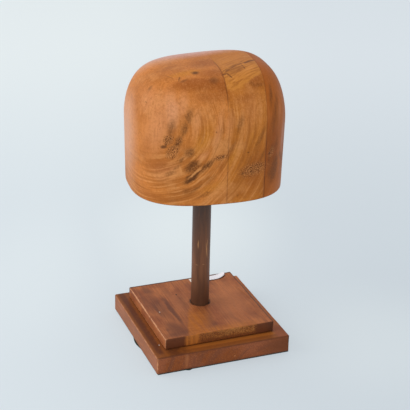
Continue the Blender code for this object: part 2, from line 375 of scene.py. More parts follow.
def root(value):
    return maths(value.tree, "SQRT", value)


def step(value, low, high):
    """0 where the value is at low, 1 at high, and smooth between. low may lie above high."""
    inputs = {"Value": value, "From Min": low, "From Max": high}
    return wire_from(value.tree, "ShaderNodeMapRange", inputs, interpolation_type="SMOOTHSTEP", clamp=False)


def straight_step(value, low, high):
    """0 up to low, 1 from high on, and a straight rise between."""
    return clamped((value - low) / (high - low))


def between(value, low, high, softness):
    """1 where the value lies between two others, fading over a softness at each."""
    return step(value, low - softness, low + softness) * step(value, high + softness, high - softness)


def parts(vector):
    """The X, Y and Z of a vector, as three wires."""
    node = add(vector.tree, "ShaderNodeSeparateXYZ", {0: vector})
    return [Wire(vector.tree, socket) for socket in node.outputs]


def vector_of(tree, x, y, z):
    return wire_from(tree, "ShaderNodeCombineXYZ", {0: x, 1: y, 2: z})


def vector_maths(tree, operation, *values):
    output = "Value" if operation == "LENGTH" else "Vector"
    return wire_from(tree, "ShaderNodeVectorMath", dict(enumerate(values)), output, operation=operation)


def scaled(vector, size):
    """A vector times one size, or times one for each axis."""
    sizes = vector_of(vector.tree, size, size, size) if isinstance(size, Wire) else size
    return vector_maths(vector.tree, "MULTIPLY", vector, sizes)


def own_point(point, middle, turn, unit):
    """The point as seen from a middle, by axes turned and divided in units of their own."""
    inputs = {"Vector": point, "Location": middle, "Rotation": turn, "Scale": unit}
    return wire_from(point.tree, "ShaderNodeMapping", inputs, vector_type="TEXTURE")


def cloudy(vector, scale, detail=2.0, roughness=0.5):
    """Soft noise around 0.5, in three dimensions."""
    inputs = {"Vector": vector, "Scale": scale, "Detail": detail, "Roughness": roughness}
    return wire_from(vector.tree, "ShaderNodeTexNoise", inputs)


def streaky(vector, scales, detail=2.0, roughness=0.5):
    """Soft noise with a scale of its own along each axis."""
    return cloudy(scaled(vector, scales), 1.0, detail, roughness)


def mix(factor, first, second):
    """A colour that goes from the first to the second as the factor goes from 0 to 1."""
    return wire_from(factor.tree, "ShaderNodeMix", {0: factor, 6: first, 7: second}, 2, data_type="RGBA")


def begin_group(name, kind, inputs, outputs):
    """An empty node group with named inputs and outputs. Returns its tree, input wires and output slots."""
    tree = bpy.data.node_groups.new(name, kind)
    for label, value in inputs.items():
        socket_type = "NodeSocketFloat"
        if value is bpy.types.Material:
            socket_type = "NodeSocketMaterial"
        elif hasattr(value, "__len__"):
            socket_type = "NodeSocketVector"
        socket = tree.interface.new_socket(name=label, in_out="INPUT", socket_type=socket_type)
        if value is not bpy.types.Material:
            socket.default_value = value
    for label, socket_type in outputs.items():
        tree.interface.new_socket(name=label, in_out="OUTPUT", socket_type=socket_type)
    start = tree.nodes.new("NodeGroupInput")
    wires = {label: Wire(tree, start.outputs[label]) for label in inputs}
    return tree, wires, tree.nodes.new("NodeGroupOutput").inputs


def begin_mask_group(name, inputs, *outputs):
    return begin_group(name, "ShaderNodeTree", inputs, {label: "NodeSocketFloat" for label in outputs})


def begin_shape_group(name, inputs):
    """A geometry tree whose inputs are its own sizes and the finish that it puts on."""
    inputs = {**inputs, "Finish": bpy.types.Material}
    return begin_group(name, "GeometryNodeTree", inputs, {"Mesh": "NodeSocketGeometry"})


def use(tree, group, inputs):
    """Places a shader group in a material and returns its outputs by name."""
    node = tree.nodes.new("ShaderNodeGroup")
    node.node_tree = group
    for name, value in inputs.items():
        feed(tree, node.inputs[name], value)
    return {socket.name: Wire(tree, socket) for socket in node.outputs}


# Effects that several materials share


def make_wood_grain():
    """Growth rings about an axis along Y, where the fibre runs along Y too. Lengths are millimetres."""
    inputs = {
        "Point": ZERO,
        "Pith": ZERO,
        "Ring Gap": 8.0,
        "Line Gap": 2.0,
        "Wander": 8.0,
        "Fibre Length": 20.0,
        "Fibre Width": 0.7,
    }
    tree, given, results = begin_mask_group("wood_grain", inputs, "Band", "Line", "Fibre", "Reach")
    x, y, z = parts(vector_maths(tree, "SUBTRACT", given["Point"], given["Pith"]))
    reach = root(x * x + z * z) + 0.01
    distance = reach + (cloudy(given["Point"], 0.013) - 0.5) * given["Wander"] * 2.0

    # The direction from the pith lets a ring fade in and out along its arc, with no seam anywhere
    for label, gap, turn_scale in (("Band", given["Ring Gap"], 1.2), ("Line", given["Line Gap"], 2.2)):
        place = vector_of(tree, distance / gap, x / reach * turn_scale, z / reach * turn_scale)
        inputs = {"Vector": place, "W": y * 0.012, "Scale": 1.0, "Detail": 2.0}
        feed(tree, results[label], wire_from(tree, "ShaderNodeTexNoise", inputs, noise_dimensions="4D"))

    x, y, z = parts(given["Point"])
    width = given["Fibre Width"]
    fibre = cloudy(vector_of(tree, x / width, y / given["Fibre Length"], z / width), 1.0, 3.0, 0.6)
    feed(tree, results["Fibre"], fibre)
    feed(tree, results["Reach"], reach)
    return tree


def make_spot():
    """A soft ellipsoid: 1 in its middle and 0 outside. Lengths are millimetres."""
    inputs = {"Point": ZERO, "Middle": ZERO, "Turn": ZERO, "Reach": (1.0, 1.0, 1.0), "Core": 0.3}
    tree, given, results = begin_mask_group("spot", inputs, "Mask")
    own = own_point(given["Point"], given["Middle"], given["Turn"], given["Reach"])
    ball = wire_from(tree, "ShaderNodeTexGradient", {"Vector": own}, 1, gradient_type="SPHERICAL")
    feed(tree, results["Mask"], step(ball, 0.0, 1.0 - given["Core"]))
    return tree


def make_edge_wear_and_highlight():
    """A ragged band along a board's edges, for wear and for painted highlight. Lengths are millimetres from
    the board's middle.
    """
    inputs = {"Point": ZERO, "Half Size": (1.0, 1.0, 1.0), "Width": 1.5, "Ragged": 1.0}
    tree, given, results = begin_mask_group("edge_wear_and_highlight", inputs, "Wear And Highlight", "Distance")
    offset = vector_maths(tree, "ABSOLUTE", given["Point"])
    x, y, z = parts(vector_maths(tree, "SUBTRACT", given["Half Size"], offset))

    # A face has one of the three at zero, so the middle one of them is the way to the nearest edge
    distance = x + y + z - larger(larger(x, y), z) - smaller(smaller(x, y), z)
    ragged = distance + (cloudy(given["Point"], 0.16, 4.0, 0.65) - 0.5) * given["Ragged"] * 4.0
    feed(tree, results["Wear And Highlight"], step(ragged, given["Width"], given["Width"] * 0.35))
    feed(tree, results["Distance"], distance)
    return tree


def make_specks():
    """Small round specks scattered over a surface. Size is their radius, and lengths are millimetres."""
    inputs = {"Point": ZERO, "Spacing": 5.0, "Size": 0.5, "Share": 0.3}
    tree, given, results = begin_mask_group("specks", inputs, "Mask")
    place = vector_maths(tree, "DIVIDE", given["Point"], given["Spacing"])
    cells = add(tree, "ShaderNodeTexVoronoi", {"Vector": place, "Scale": 1.0}, feature="F1")
    chance = parts(Wire(tree, cells.outputs["Color"]))[0]
    share = given["Size"] / given["Spacing"]
    near = step(Wire(tree, cells.outputs["Distance"]), share, share * 0.4)
    feed(tree, results["Mask"], near * maths(tree, "LESS_THAN", chance, given["Share"]))
    return tree


WOOD_GRAIN = make_wood_grain()
SPOT = make_spot()
EDGE_WEAR_AND_HIGHLIGHT = make_edge_wear_and_highlight()
SPECKS = make_specks()


# Materials


def begin_material(name, roughness, middle=ZERO, turn=0.0, specular=0.30):
    """A material, its Principled shader, and the surface's own point in millimetres from a middle."""
    material = bpy.data.materials.new(name)
    material.use_nodes = True
    tree = material.node_tree
    shader = tree.nodes["Principled BSDF"]
    shader.inputs["Roughness"].default_value = roughness
    shader.inputs["Specular IOR Level"].default_value = specular
    object_point = wire_from(tree, "ShaderNodeTexCoord", output="Object")
    return material, tree, shader, own_point(object_point, middle, (0.0, 0.0, turn), (MM, MM, MM))


def finish_material(material, shader, colour, roughness=None, height=None, depth=0.0):
    """Joins the colour, the roughness and a bump of the given depth in metres to the shader."""
    tree = material.node_tree
    feed(tree, shader.inputs["Base Color"], colour)
    if roughness is not None:
        feed(tree, shader.inputs["Roughness"], roughness)
    if height is not None:
        bump = wire_from(tree, "ShaderNodeBump", {"Height": height, "Distance": depth, "Strength": 1.0})
        feed(tree, shader.inputs["Normal"], bump)
    return material


def ragged_point(point, scale, amount):
    """The point pushed about by noise, so that a spot's outline wanders."""
    tree = point.tree
    inputs = {"Vector": point, "Scale": scale, "Detail": 3.0, "Roughness": 0.6}
    push = wire_from(tree, "ShaderNodeTexNoise", inputs, "Color")
    centred = vector_maths(tree, "SUBTRACT", push, (0.5, 0.5, 0.5))
    return vector_maths(tree, "ADD", point, scaled(centred, (amount, amount, amount)))


def lay_spots(point, spots):
    """The strongest of several soft spots, as one mask."""
    strongest = maths(point.tree, "ADD", 0.0, 0.0)
    for middle, turn, reach, core, strength in spots:
        inputs = {"Point": point, "Middle": middle, "Turn": turn, "Reach": reach, "Core": core}
        strongest = larger(strongest, use(point.tree, SPOT, inputs)["Mask"] * strength)
    return strongest


# Where spots on each side have their middle, in millimetres along the axis it faces, and how deep they reach
BLOCK_FRONT = -70.0
BLOCK_TOP = 148.0
BLOCK_END = -104.0
BOARD_TOP = 7.0
BOARD_FRONT = -89.0
FRONT_SPOT_DEPTH = 60.0
TOP_SPOT_DEPTH = 40.0
END_SPOT_DEPTH = 23.0
BOARD_SPOT_DEPTH = 9.0
FACE_SPOT_DEPTH = 5.0

# Cores of spots and strokes, and the half length of a stroke's spots as a share of the way between corners
SPOT_CORE = 0.2
STROKE_CORE = 0.3
STROKE_OVERLAP = 0.62


def reaching(spots, low_x, high_x):
    """The spots that reach a piece of the block, between two distances along its length."""
    kept = []
    for spot in spots:
        middle, turn, reach = spot[:3]
        along = Euler(turn).to_matrix()[0]
        extent = Vector([share * size for share, size in zip(along, reach)]).length
        if low_x - extent < middle[0] < high_x + extent:
            kept.append(spot)
    return kept


def turned_spots(rows, side, middle, reach):
    """Spots on a side: rows of (across, up, turn in degrees, half length, half width, strength, core).

    side is the axis that the side faces, and middle and reach are where along it the spots lie and how deep.
    """
    spots = []
    for row in rows:
        across, up, turn, half_length, half_width, strength, core = (*row, SPOT_CORE)[:7]
        place, turned, size = [across, up], [0.0, 0.0, 0.0], [half_length, half_width]
        place.insert(side, middle)
        turned[side] = math.radians(turn) * (-1 if side == 1 else 1)
        size.insert(side, reach)
        spots.append((tuple(place), tuple(turned), tuple(size), core, strength))
    return spots


def front_spots(*rows):
    """Spots seen from the front, as (x, z, rise, half length, half width, strength, core)."""
    return turned_spots(rows, 1, BLOCK_FRONT, FRONT_SPOT_DEPTH)


def top_spots(*rows):
    """Spots seen from above, as (x, y, turn, half length, half width, strength, core)."""
    return turned_spots(rows, 2, BLOCK_TOP, TOP_SPOT_DEPTH)


def end_spots(*rows):
    """Spots on the block's left end, as (y, z, turn, half length, half height, strength, core)."""
    return turned_spots(rows, 0, BLOCK_END, END_SPOT_DEPTH)


def board_spots(*rows):
    """Spots in a board's top, as top_spots takes them, in millimetres from the board's middle."""
    return turned_spots(rows, 2, BOARD_TOP, BOARD_SPOT_DEPTH)


def face_spots(*rows):
    """Spots in the lower board's front face, as front_spots takes them, from the board's middle."""
    return turned_spots(rows, 1, BOARD_FRONT, FACE_SPOT_DEPTH)


def top_strokes(*strokes):
    """Spots in rows, which draw lines on the block's top: (half width, strength, corners as (x, y))."""
    spots = []
    for half_width, strength, *corners in strokes:
        for (x0, y0), (x1, y1) in zip(corners, corners[1:]):
            turn = math.degrees(math.atan2(y1 - y0, x1 - x0))
            half_length = math.hypot(x1 - x0, y1 - y0) * STROKE_OVERLAP + half_width
            middle = ((x0 + x1) / 2, (y0 + y1) / 2)
            spots += top_spots((*middle, turn, half_length, half_width, strength, STROKE_CORE))
    return spots


# Marks in the block's timber, and painted sheen, in millimetres of the block's own frame
DARK_STREAKS = front_spots(
    (-58.5, 98, 78, 16, 5.5, 0.69),
    (-61.3, 85, 72, 9, 5.5, 0.86),
    (-38, 112, 76, 14, 6.5, 0.71),
    (-44, 98, 72, 15, 5.5, 0.86),
    (-51, 82, 66, 11, 6.0, 1.09),
    (-38, 69, 60, 11, 8.0, 1.00),
    (-34, 51, 38, 15, 10.0, 1.10, 0.4),
    (-35, 37, 42, 17, 6.6, 1.20, 0.4),
    (-18, 51, 42, 20, 5.0, 1.05),
    (-47, 60, 62, 7, 3.4, 0.92),
    (-59, 42, 24, 9, 4.5, 0.69),
    (-52, 50, 40, 9, 2.6, 0.57),
    (-30, 22, 35, 16, 3.4, 0.63),
    (-40, 20, 30, 9, 6.0, 0.52),
    (-14, 33, 40, 18, 5.0, 0.46),
    (-20, 14, 25, 18, 4.0, 0.46),
    (3, 62, 8, 9, 4.0, 0.52),
    (1, 96, 78, 16, 5.0, 0.34),
    (22, 100, 74, 18, 6.0, 0.57),
    (12, 72, 60, 14, 3.4, 0.46),
    (48, 80, 62, 24, 4.0, 0.52),
    (34, 52, 60, 14, 3.4, 0.34),
    (42, 42, 12, 22, 9.0, 0.63),
    (52, 56, 64, 12, 3.0, 0.52),
    (71, 36, 84, 24, 9.0, 0.80, 0.4),
    (63, 52, 84, 16, 4.0, 0.57),
    (66, 62, 70, 10, 4.5, 0.69),
    (67, 98, 86, 22, 4.0, 0.46),
    (64, 128, 86, 20, 4.0, 0.75),
    (71, 112, 82, 24, 4.0, 0.50),
    (73, 66, 80, 13, 5.0, 0.62),
    (65, 32, 80, 11, 5.0, 0.75),
    (83, 46, -75, 13, 5.0, 0.75),
) + top_strokes((2.4, 0.42, (36, -60), (45.5, -62.5), (54, -59.6)))
SMALL_KNOTS = front_spots(
    (-66.8, 74.4, 12, 5.0, 3.0, 0.9, 0.3),
    (-64.5, 77.5, 80, 3.8, 2.0, 0.7),
    (-52, 79.0, 40, 4.2, 2.4, 0.55),
    (-35, 35, 42, 12, 2.0, 0.65, 0.3),
    (-27, 44, 42, 5, 1.6, 0.7),
    (2, 61.5, 15, 2.2, 1.7, 0.9),
    (-2, 61.0, 60, 1.5, 1.3, 0.8),
    (33, 64, 0, 1.7, 1.5, 0.9),
    (-7, 93, 0, 1.7, 1.5, 0.7),
    (-82, 121.5, 0, 1.5, 1.4, 0.7),
    (-16, 18, 0, 1.6, 1.2, 0.7),
    (27, 38, 30, 3.0, 1.8, 0.8),
    (62.5, 58, 60, 2.6, 2.0, 0.8),
    (22, 10, 60, 3.0, 1.4, 0.5),
) + top_spots(
    (-22, -38, 15, 6.4, 6.4, 0.95, 0.2),
    (-4, -56, 0, 9.0, 7.0, 0.50),
    (-43, -45, 68, 6.0, 1.5, 0.8),
    (-75.7, -36, 0, 4.5, 4.0, 0.5),
    (-39, -50, 8, 7.0, 2.6, 0.50),
)
BURRS = front_spots(
    (-57.5, 69, 65, 12, 7.5, 1.0, 0.6),
    (-61.5, 84, 70, 9, 6.5, 1.0, 0.5),
    (-50, 84, 66, 9, 5.0, 0.7, 0.4),
    (41, 41, 8, 27, 12.0, 1.0, 0.3),
    (0, 61, 10, 12, 5.0, 0.9, 0.4),
    (65, 58, 60, 10, 7.0, 0.7, 0.3),
)
GOLD_AREAS = front_spots(
    (-22, 84, 66, 34, 13, 1.0, 0.1),
    (-8, 24, 20, 30, 9, 0.6, 0.1),
    (14, 60, 60, 24, 9, 0.7, 0.1),
    (38, 84, 74, 26, 9, 0.5, 0.1),
) + top_spots(
    (-32, -35, 4, 26, 10, 0.9, 0.3),
    (22, -12, 15, 15, 13, 0.45, 0.2),
)
# Pinker areas: partly the wood's own tone, partly painted sheen and highlight on the left end, along the
# top's back and on the front's upper left
PINK_AND_SHEEN_AREAS = front_spots(
    (-58, 118, 84, 32, 13, 1.0, 0.1),
    (-44, 126, 78, 24, 9, 0.6, 0.1),
    (10, 100, 84, 26, 9, 0.5, 0.1),
    (36, 112, 80, 44, 22, 0.35, 0.1),
    (-84, 126, 66, 30, 18, 0.8, 0.1),
    (70, 84, 88, 20, 8, 0.5, 0.1),
    (70, 68, -72, 30, 3.4, 0.45, 0.1),
    (76, 104, 84, 24, 4.0, 0.35, 0.1),
    (-4, 92, 80, 40, 7, 0.7, 0.1),
    (-22, 64, 50, 14, 7, 0.7, 0.1),
    (-74, 96, 80, 52, 20, 0.75, 0.1),
    (-66, 44, 30, 24, 16, 0.5, 0.1),
    (-30, 104, 80, 22, 8, 0.5, 0.1),
) + top_spots(
    (-54, 28, 10, 46, 30, 1.0, 0.3),
    (6, 56, 0, 80, 34, 1.0, 0.3),
) + end_spots((0, 76, 0, 62, 84, 1.0, 0.4))
# Painted sheen along the top's back edge and near the right strip's edge
PAINTED_SHEEN_AREAS = front_spots((84, 66, 88, 40, 5, 0.55, 0.1)) + top_spots((-12, 50, 0, 92, 40, 1.45, 0.3))
RED_AREAS = front_spots(
    (-10, 133, -3, 38, 10, 0.7, 0.2),
    (-72, 50, 10, 22, 20, 0.6, 0.1),
    (-84, 70, 80, 26, 7, 0.5, 0.1),
    (0, 50, 80, 12, 5, 0.6, 0.1),
    (44, 40, 80, 44, 20, 0.9, 0.2),
    (30, 12, 4, 40, 9, 0.5, 0.1),
    (28, 128, 8, 26, 8, 0.5, 0.2),
    (66, 60, 88, 66, 16, 1.35, 0.3),
    (-78, 10, 0, 20, 8, 0.5, 0.2),
) + top_spots(
    (-22, -58, -8, 48, 12, 1.0, 0.4),
    (3, -64, -70, 16, 12, 1.0, 0.3),
    (-2, -44, 0, 24, 16, 0.8, 0.2),
    (47, -58, 28, 16, 11, 0.9, 0.3),
    (-6, -10, 12, 26, 22, 0.75, 0.2),
    (-48, -10, 30, 16, 8, 0.5, 0.2),
    (40, -6, 10, 26, 10, 0.3, 0.1),
)
CRACKS = top_spots(
    (16, -41, 40, 5, 2.8, 0.70, 0.3),
    (-52, -37, 120, 9, 1.2, 0.4, 0.4),
) + top_strokes(
    (1.3, 0.55, (8, -45), (18, -35.6), (34.5, -23.5), (43, -16)),
    (1.8, 0.75, (12.8, -44.6), (20.3, -37.8), (31.5, -28.3), (39, -24.4)),
    (1.3, 0.80, (36.4, -29), (37.5, -34), (38, -40.4)),
    (3.0, 0.95, (42, -24.5), (46, -21.3), (50.5, -16.8), (57.5, -13.4)),
    (1.6, 0.90, (7.7, -49.5), (14, -47.5), (15.6, -50.6), (18.1, -54.8)),
)

# Where the wax is rubbed to a shine
SHINY_AREAS = front_spots((-60, 116, 84, 36, 18, 1.0, 0.1)) + top_spots(
    (-54, 34, 10, 44, 30, 1.0, 0.2),
    (10, 60, 0, 80, 36, 1.6, 0.3),
) + end_spots((0, 76, 0, 70, 90, 1.0, 0.3))

# Smears under the cracks in the pale patch
SMEARS = top_spots(
    (26, -40, 36, 22, 11, 1.0, 0.25),
    (50, -20, 28, 13, 8, 0.9, 0.2),
    (26, -23, 30, 15, 9, 0.55, 0.1),
    (14, -58, 60, 5, 3, 0.4, 0.2),
)

# Chipped and rubbed places that show paler wood
PALE_MARKS = front_spots(
    (-31, 43.6, 42, 15, 2.0, 0.95, 0.4),
    (-48, 46, 100, 9, 2.2, 0.7, 0.3),
    (-24, 59, 60, 10, 2.2, 0.7, 0.3),
    (-20, 37, 40, 18, 2.2, 0.5, 0.3),
    (-46, 64, 50, 9, 2.4, 0.4, 0.3),
    (-70, 62, 18, 20, 3.6, 0.5, 0.2),
    (-58, 56, 44, 12, 3.0, 0.4, 0.2),
) + top_spots(
    (9.8, -53, 80, 2.6, 1.2, 0.9),
    (9.6, -59.7, 85, 2.8, 1.1, 0.8),
    (11.2, -64.5, 70, 3.2, 1.4, 0.8),
)

# The pith that the block's growth rings go round
BLOCK_PITH = (-81.0, 0.0, 102.0)

# Corners of the pale patch's lower edge on the middle plank, and the turn of the patch's streaks
PATCH_EDGE = [(9.0, -68.0), (19.5, -68.6), (28.7, -65.3), (38.2, -59.5), (47.6, -53.5), (57.5, -45.5)]
PATCH_STREAK_TURN = math.radians(32.0)


def growth_rings(colour, point, grain, mottle, pale):
    """Arcs, which fade out round the pith, above and to the left of it, and towards the top."""
    x, _, z = parts(point)
    arcs = step(grain["Reach"], 30.0, 62.0) * step(z, 140.0, 112.0)
    shown = 0.14 + step(z, 96.0, 64.0) * 0.22 + step(x - z * 0.6, -132.0, -84.0) * 0.80
    arcs = arcs * shown * (0.55 + mottle * 0.9)
    dark_bands = arcs * (0.30 + step(x, -76.0, -30.0) * 0.18)
    colour = mix(step(grain["Band"], 0.50, 0.66) * dark_bands, colour, BLOCK_BROWN)
    colour = mix(step(grain["Band"], 0.50, 0.34) * arcs * 0.38, colour, pale)
    fine = arcs * (1.0 - step(x, -10.0, 30.0) * 0.65)
    colour = mix(step(grain["Line"], 0.52, 0.66) * (fine * 0.40 + 0.06), colour, pale)
    return mix(step(grain["Line"], 0.50, 0.34) * (fine * 0.34 + 0.08), colour, BLOCK_BROWN)


def glue_lines(colour, point):
    """The two glue joints, each a thin dark line that comes and goes, with a redder edge on both sides."""
    x, y, z = parts(point)
    fading = (cloudy(point, 0.04, 3.0) - 0.5) * 1.2
    for joint, above, below in ((LEFT_JOINT, 0.80, 0.30), (RIGHT_JOINT, 0.30, 1.00)):
        away = abs(x - joint / MM)
        top_part = step(z, 116.0, 134.0) * step(y, 6.0, -30.0) * above
        shown = clamped(top_part + step(z, 118.0, 56.0) * below + fading * 0.5)
        colour = mix(step(away, 1.1, 0.2) * shown * 0.70, colour, SEAM_BROWN)
        colour = mix(step(away, 4.5, 0.5) * shown * 0.25, colour, BLOCK_RED)
    return colour


def broad_tones(point, wandering, tone, pale, lay):
    """Broad changes of tone, areas with tints of their own, and painted sheen."""
    colour = mix(step(cloudy(point, 0.022, 3.0), 0.42, 0.68) * 0.40, tone, BLOCK_BROWN)
    colour = mix(step(cloudy(wandering, 0.045, 2.0), 0.50, 0.68) * 0.40, colour, pale)
    areas_and_tints = (
        (GOLD_AREAS, BLOCK_GOLD),
        (PINK_AND_SHEEN_AREAS, BLOCK_PINK_AND_SHEEN),
        (PAINTED_SHEEN_AREAS, BLOCK_PAINTED_SHEEN),
        (RED_AREAS, BLOCK_RED),
    )
    for areas, tint in areas_and_tints:
        colour = mix(lay(areas) * 0.75, colour, tint)
    return colour


def fine_grain(colour, z, hair, mottle, rough, pale):
    """Grain that is finer and more combed in the upper half, and mottled most on the dome."""
    combed = step(z, 40.0, 96.0) * 0.23
    on_dome = step(z, 96.0, 124.0)
    colour = mix(step(hair, 0.50, 0.68) * combed, colour, pale)
    colour = mix(step(hair, 0.48, 0.32) * combed, colour, BLOCK_BROWN)
    colour = mix(step(mottle, 0.58, 0.30) * (0.32 + on_dome * 0.08), colour, BLOCK_BROWN)
    return mix(step(rough, 0.50, 0.70) * (0.18 + on_dome * 0.12), colour, pale)


def stains_and_burrs(colour, point, rough, grain, lay):
    """Dark stains, burrs with dark and pale freckles, and marks rubbed pale."""
    uneven = 0.50 + step(rough, 0.58, 0.40) * 0.36 + step(grain["Line"], 0.56, 0.40) * 0.20
    colour = mix(clamped(lay(DARK_STREAKS) * uneven), colour, STAIN_AND_SHADE_BROWN)
    burrs = lay(BURRS)
    freckles = cloudy(point, 0.95, 3.0, 0.8)
    colour = mix(burrs * 0.40, colour, BLOCK_RED)
    colour = mix(burrs * step(freckles, 0.50, 0.58) * 0.75, colour, BLOCK_PALE)
    colour = mix(burrs * step(freckles, 0.51, 0.42) * 0.95, colour, KNOT_BROWN)
    return mix(lay(PALE_MARKS) * 0.8, colour, BLOCK_PALE)


def block_timber(name, low_x, high_x, tone, pale, patched, middle, turn):
    """The wood of one glued piece of the block, between two distances along its length in millimetres."""
    material, tree, shader, point = begin_material(name, 0.45, middle, turn, specular=0.16)
    shader.inputs["Coat Roughness"].default_value = 0.32
    z = parts(point)[2]
    inputs = {"Point": point, "Pith": BLOCK_PITH, "Ring Gap": 8.5, "Line Gap": 2.1, "Wander": 9.0}
    grain = use(tree, WOOD_GRAIN, inputs)
    wandering = ragged_point(point, 0.12, 6.0)
    mottle = cloudy(point, 0.28, 4.0, 0.75)
    rough = cloudy(point, 0.55, 3.0, 0.7)
    hair = streaky(point, (0.50, 0.4, 0.03), 3.0, 0.6)

    def lay(spots, place=wandering):
        return lay_spots(place, reaching(spots, low_x, high_x))

    colour = broad_tones(point, wandering, tone, pale, lay)
    colour = growth_rings(colour, point, grain, mottle, pale)
    colour = fine_grain(colour, z, hair, mottle, rough, pale)
    height = grain["Line"] * 0.4 + grain["Fibre"] * 0.3
    colour = stains_and_burrs(colour, point, rough, grain, lay)
    if patched:
        colour = pale_patch(colour, point, wandering)

    # Knots and cracks, which are sunk into the surface as well
    sunken_marks = ((SMALL_KNOTS, KNOT_BROWN, 0.85, 0.6), (CRACKS, CRACK_BROWN, 0.90, 1.2))
    for marks, tint, strength, sunk in sunken_marks:
        mask = lay(marks, ragged_point(point, 0.40, 1.8))
        colour = mix(mask * strength, colour, tint)
        height = height - mask * sunk

    # Glue lines, painted shade along the rim's lower edge, fine specks, and the shine of the wax
    colour = glue_lines(colour, point)
    # Painted shade along the lower edge of the rim
    colour = mix(step(z + (mottle - 0.5) * 2.0, 1.8, 0.2) * 0.6, colour, STAIN_AND_SHADE_BROWN)
    pepper = use(tree, SPECKS, {"Point": point, "Spacing": 6.5, "Size": 0.8, "Share": 0.35})["Mask"]
    colour = mix(pepper * 0.40, colour, STAIN_AND_SHADE_BROWN)
    feed(tree, shader.inputs["Coat Weight"], lay(SHINY_AREAS, point) * 0.45 + mottle * 0.08)
    roughness = 0.40 + grain["Line"] * 0.10 + cloudy(point, 0.05, 2.0) * 0.10
    return finish_material(material, shader, colour, roughness, height, BLOCK_RELIEF)


def pale_patch(colour, point, wandering):
    """The pale patch on top of the middle plank, with a sharp lower edge and slanting streaks."""
    x, y, z = parts(point)

    # The lower edge runs straight from corner to corner, so its height is the sum of their rises
    rises = [(y1 - y0) * straight_step(x, x0, x1) for (x0, y0), (x1, y1) in zip(PATCH_EDGE, PATCH_EDGE[1:])]
    above = parts(wandering)[1] - sum(rises[1:], rises[0]) - PATCH_EDGE[0][1]
    inside = step(above, -1.5, 2.0) * step(z, 118.0, 128.0)
    inputs = {"Vector": point, "Rotation": (0.0, 0.0, -PATCH_STREAK_TURN)}
    shade = streaky(wire_from(point.tree, "ShaderNodeMapping", inputs), (0.040, 0.38, 0.22), 4.0, 0.65)
    pale = mix(step(shade, 0.54, 0.34) * 0.60, BLOCK_OCHRE, BLOCK_BROWN)
    pale = mix(step(shade, 0.54, 0.70) * 0.50, pale, BLOCK_PALE)
    pale = mix(lay_spots(wandering, SMEARS) * (0.60 + step(shade, 0.6, 0.4) * 0.4), pale, PATCH_BROWN)
    crack_line = y + 44.0 - (x - 8.4) * 0.58
    behind = step(crack_line, -2.0, 12.0) * 0.45 + step(y, -8.0, 26.0) * 0.50
    return mix(inside * (0.92 - behind * 0.9), colour, pale)


def board_wood(name, node, light, dark, pith, stains):
    """The stained wood of a plinth board, whose grain runs along Y. Stains are (spots, colour, strength)."""
    half = box_half(node) / MM
    material, tree, shader, point = begin_material(name, 0.42, box_middle(node), specular=0.18)
    x, y, z = parts(point)
    inputs = {"Point": point, "Pith": pith, "Ring Gap": 8.0, "Line Gap": 1.8, "Wander": 10.0}
    grain = use(tree, WOOD_GRAIN, {**inputs, "Fibre Length": 40.0, "Fibre Width": 1.2})
    mottle = cloudy(point, 0.30, 4.0, 0.7)
    colour = mix(step(cloudy(point, 0.03, 3.0), 0.40, 0.66), light, dark)
    colour = mix(step(grain["Band"], 0.50, 0.70) * 0.55, colour, BOARD_DARK)
    colour = mix(step(grain["Line"], 0.48, 0.28) * 0.30, colour, BOARD_DARK)
    colour = mix(step(grain["Fibre"], 0.52, 0.68) * 0.32, colour, BOARD_ORANGE)
    colour = mix(step(grain["Fibre"], 0.49, 0.32) * 0.50, colour, BOARD_DARK)
    colour = mix(step(mottle, 0.52, 0.32) * 0.30, colour, BOARD_DARK)
    wandering = ragged_point(point, 0.06, 5.0)
    for spots, tint, strength in stains:
        colour = mix(clamped(lay_spots(wandering, spots) * (mottle + 0.5) * strength), colour, tint)

    # Painted highlight along the left arrises, which face the light; the other arrises are a little worn
    edge = use(tree, EDGE_WEAR_AND_HIGHLIGHT, {"Point": point, "Half Size": half, "Width": 1.5, "Ragged": 0.9})
    left = step(x, 5.0 - half.x, 1.5 - half.x)
    colour = mix(edge["Wear And Highlight"] * left * 0.75, colour, ARRIS_HIGHLIGHT)
    colour = mix(edge["Wear And Highlight"] * (1.0 - left) * 0.08, colour, BOARD_ORANGE)
    # Painted shade on the arrises that face away from the light, and along the top's back and right edges
    shaded_arris = step(edge["Distance"], 2.4, 0.8) * step(mottle, 0.66, 0.40) * (1.0 - left)
    outer = larger(step(y, half.y - 4.4, half.y - 3.0), step(x, half.x - 2.2, half.x - 1.2))
    colour = mix(clamped(shaded_arris * 0.45), colour, BOARD_DARK)
    colour = mix(outer * step(z, 0.0, 1.0) * step(edge["Distance"], 4.2, 2.6) * 0.75, colour, DIRT_AND_SHADE_BROWN)
    pepper = use(tree, SPECKS, {"Point": point, "Spacing": 7.0, "Size": 0.7, "Share": 0.3})["Mask"]
    colour = mix(pepper * 0.6, colour, DIRT_AND_SHADE_BROWN)
    height = grain["Line"] * 0.5 + grain["Fibre"] * 0.5 - pepper * 0.8
    roughness = 0.36 + grain["Line"] * 0.10 + mottle * 0.12
    return material, shader, point, half, colour, roughness, height


# Top end of the amber area's left side, in millimetres from the upper board's middle, and that side's slant
AMBER_CORNER = (-18.9, -7.5)
AMBER_SLANT = 0.347

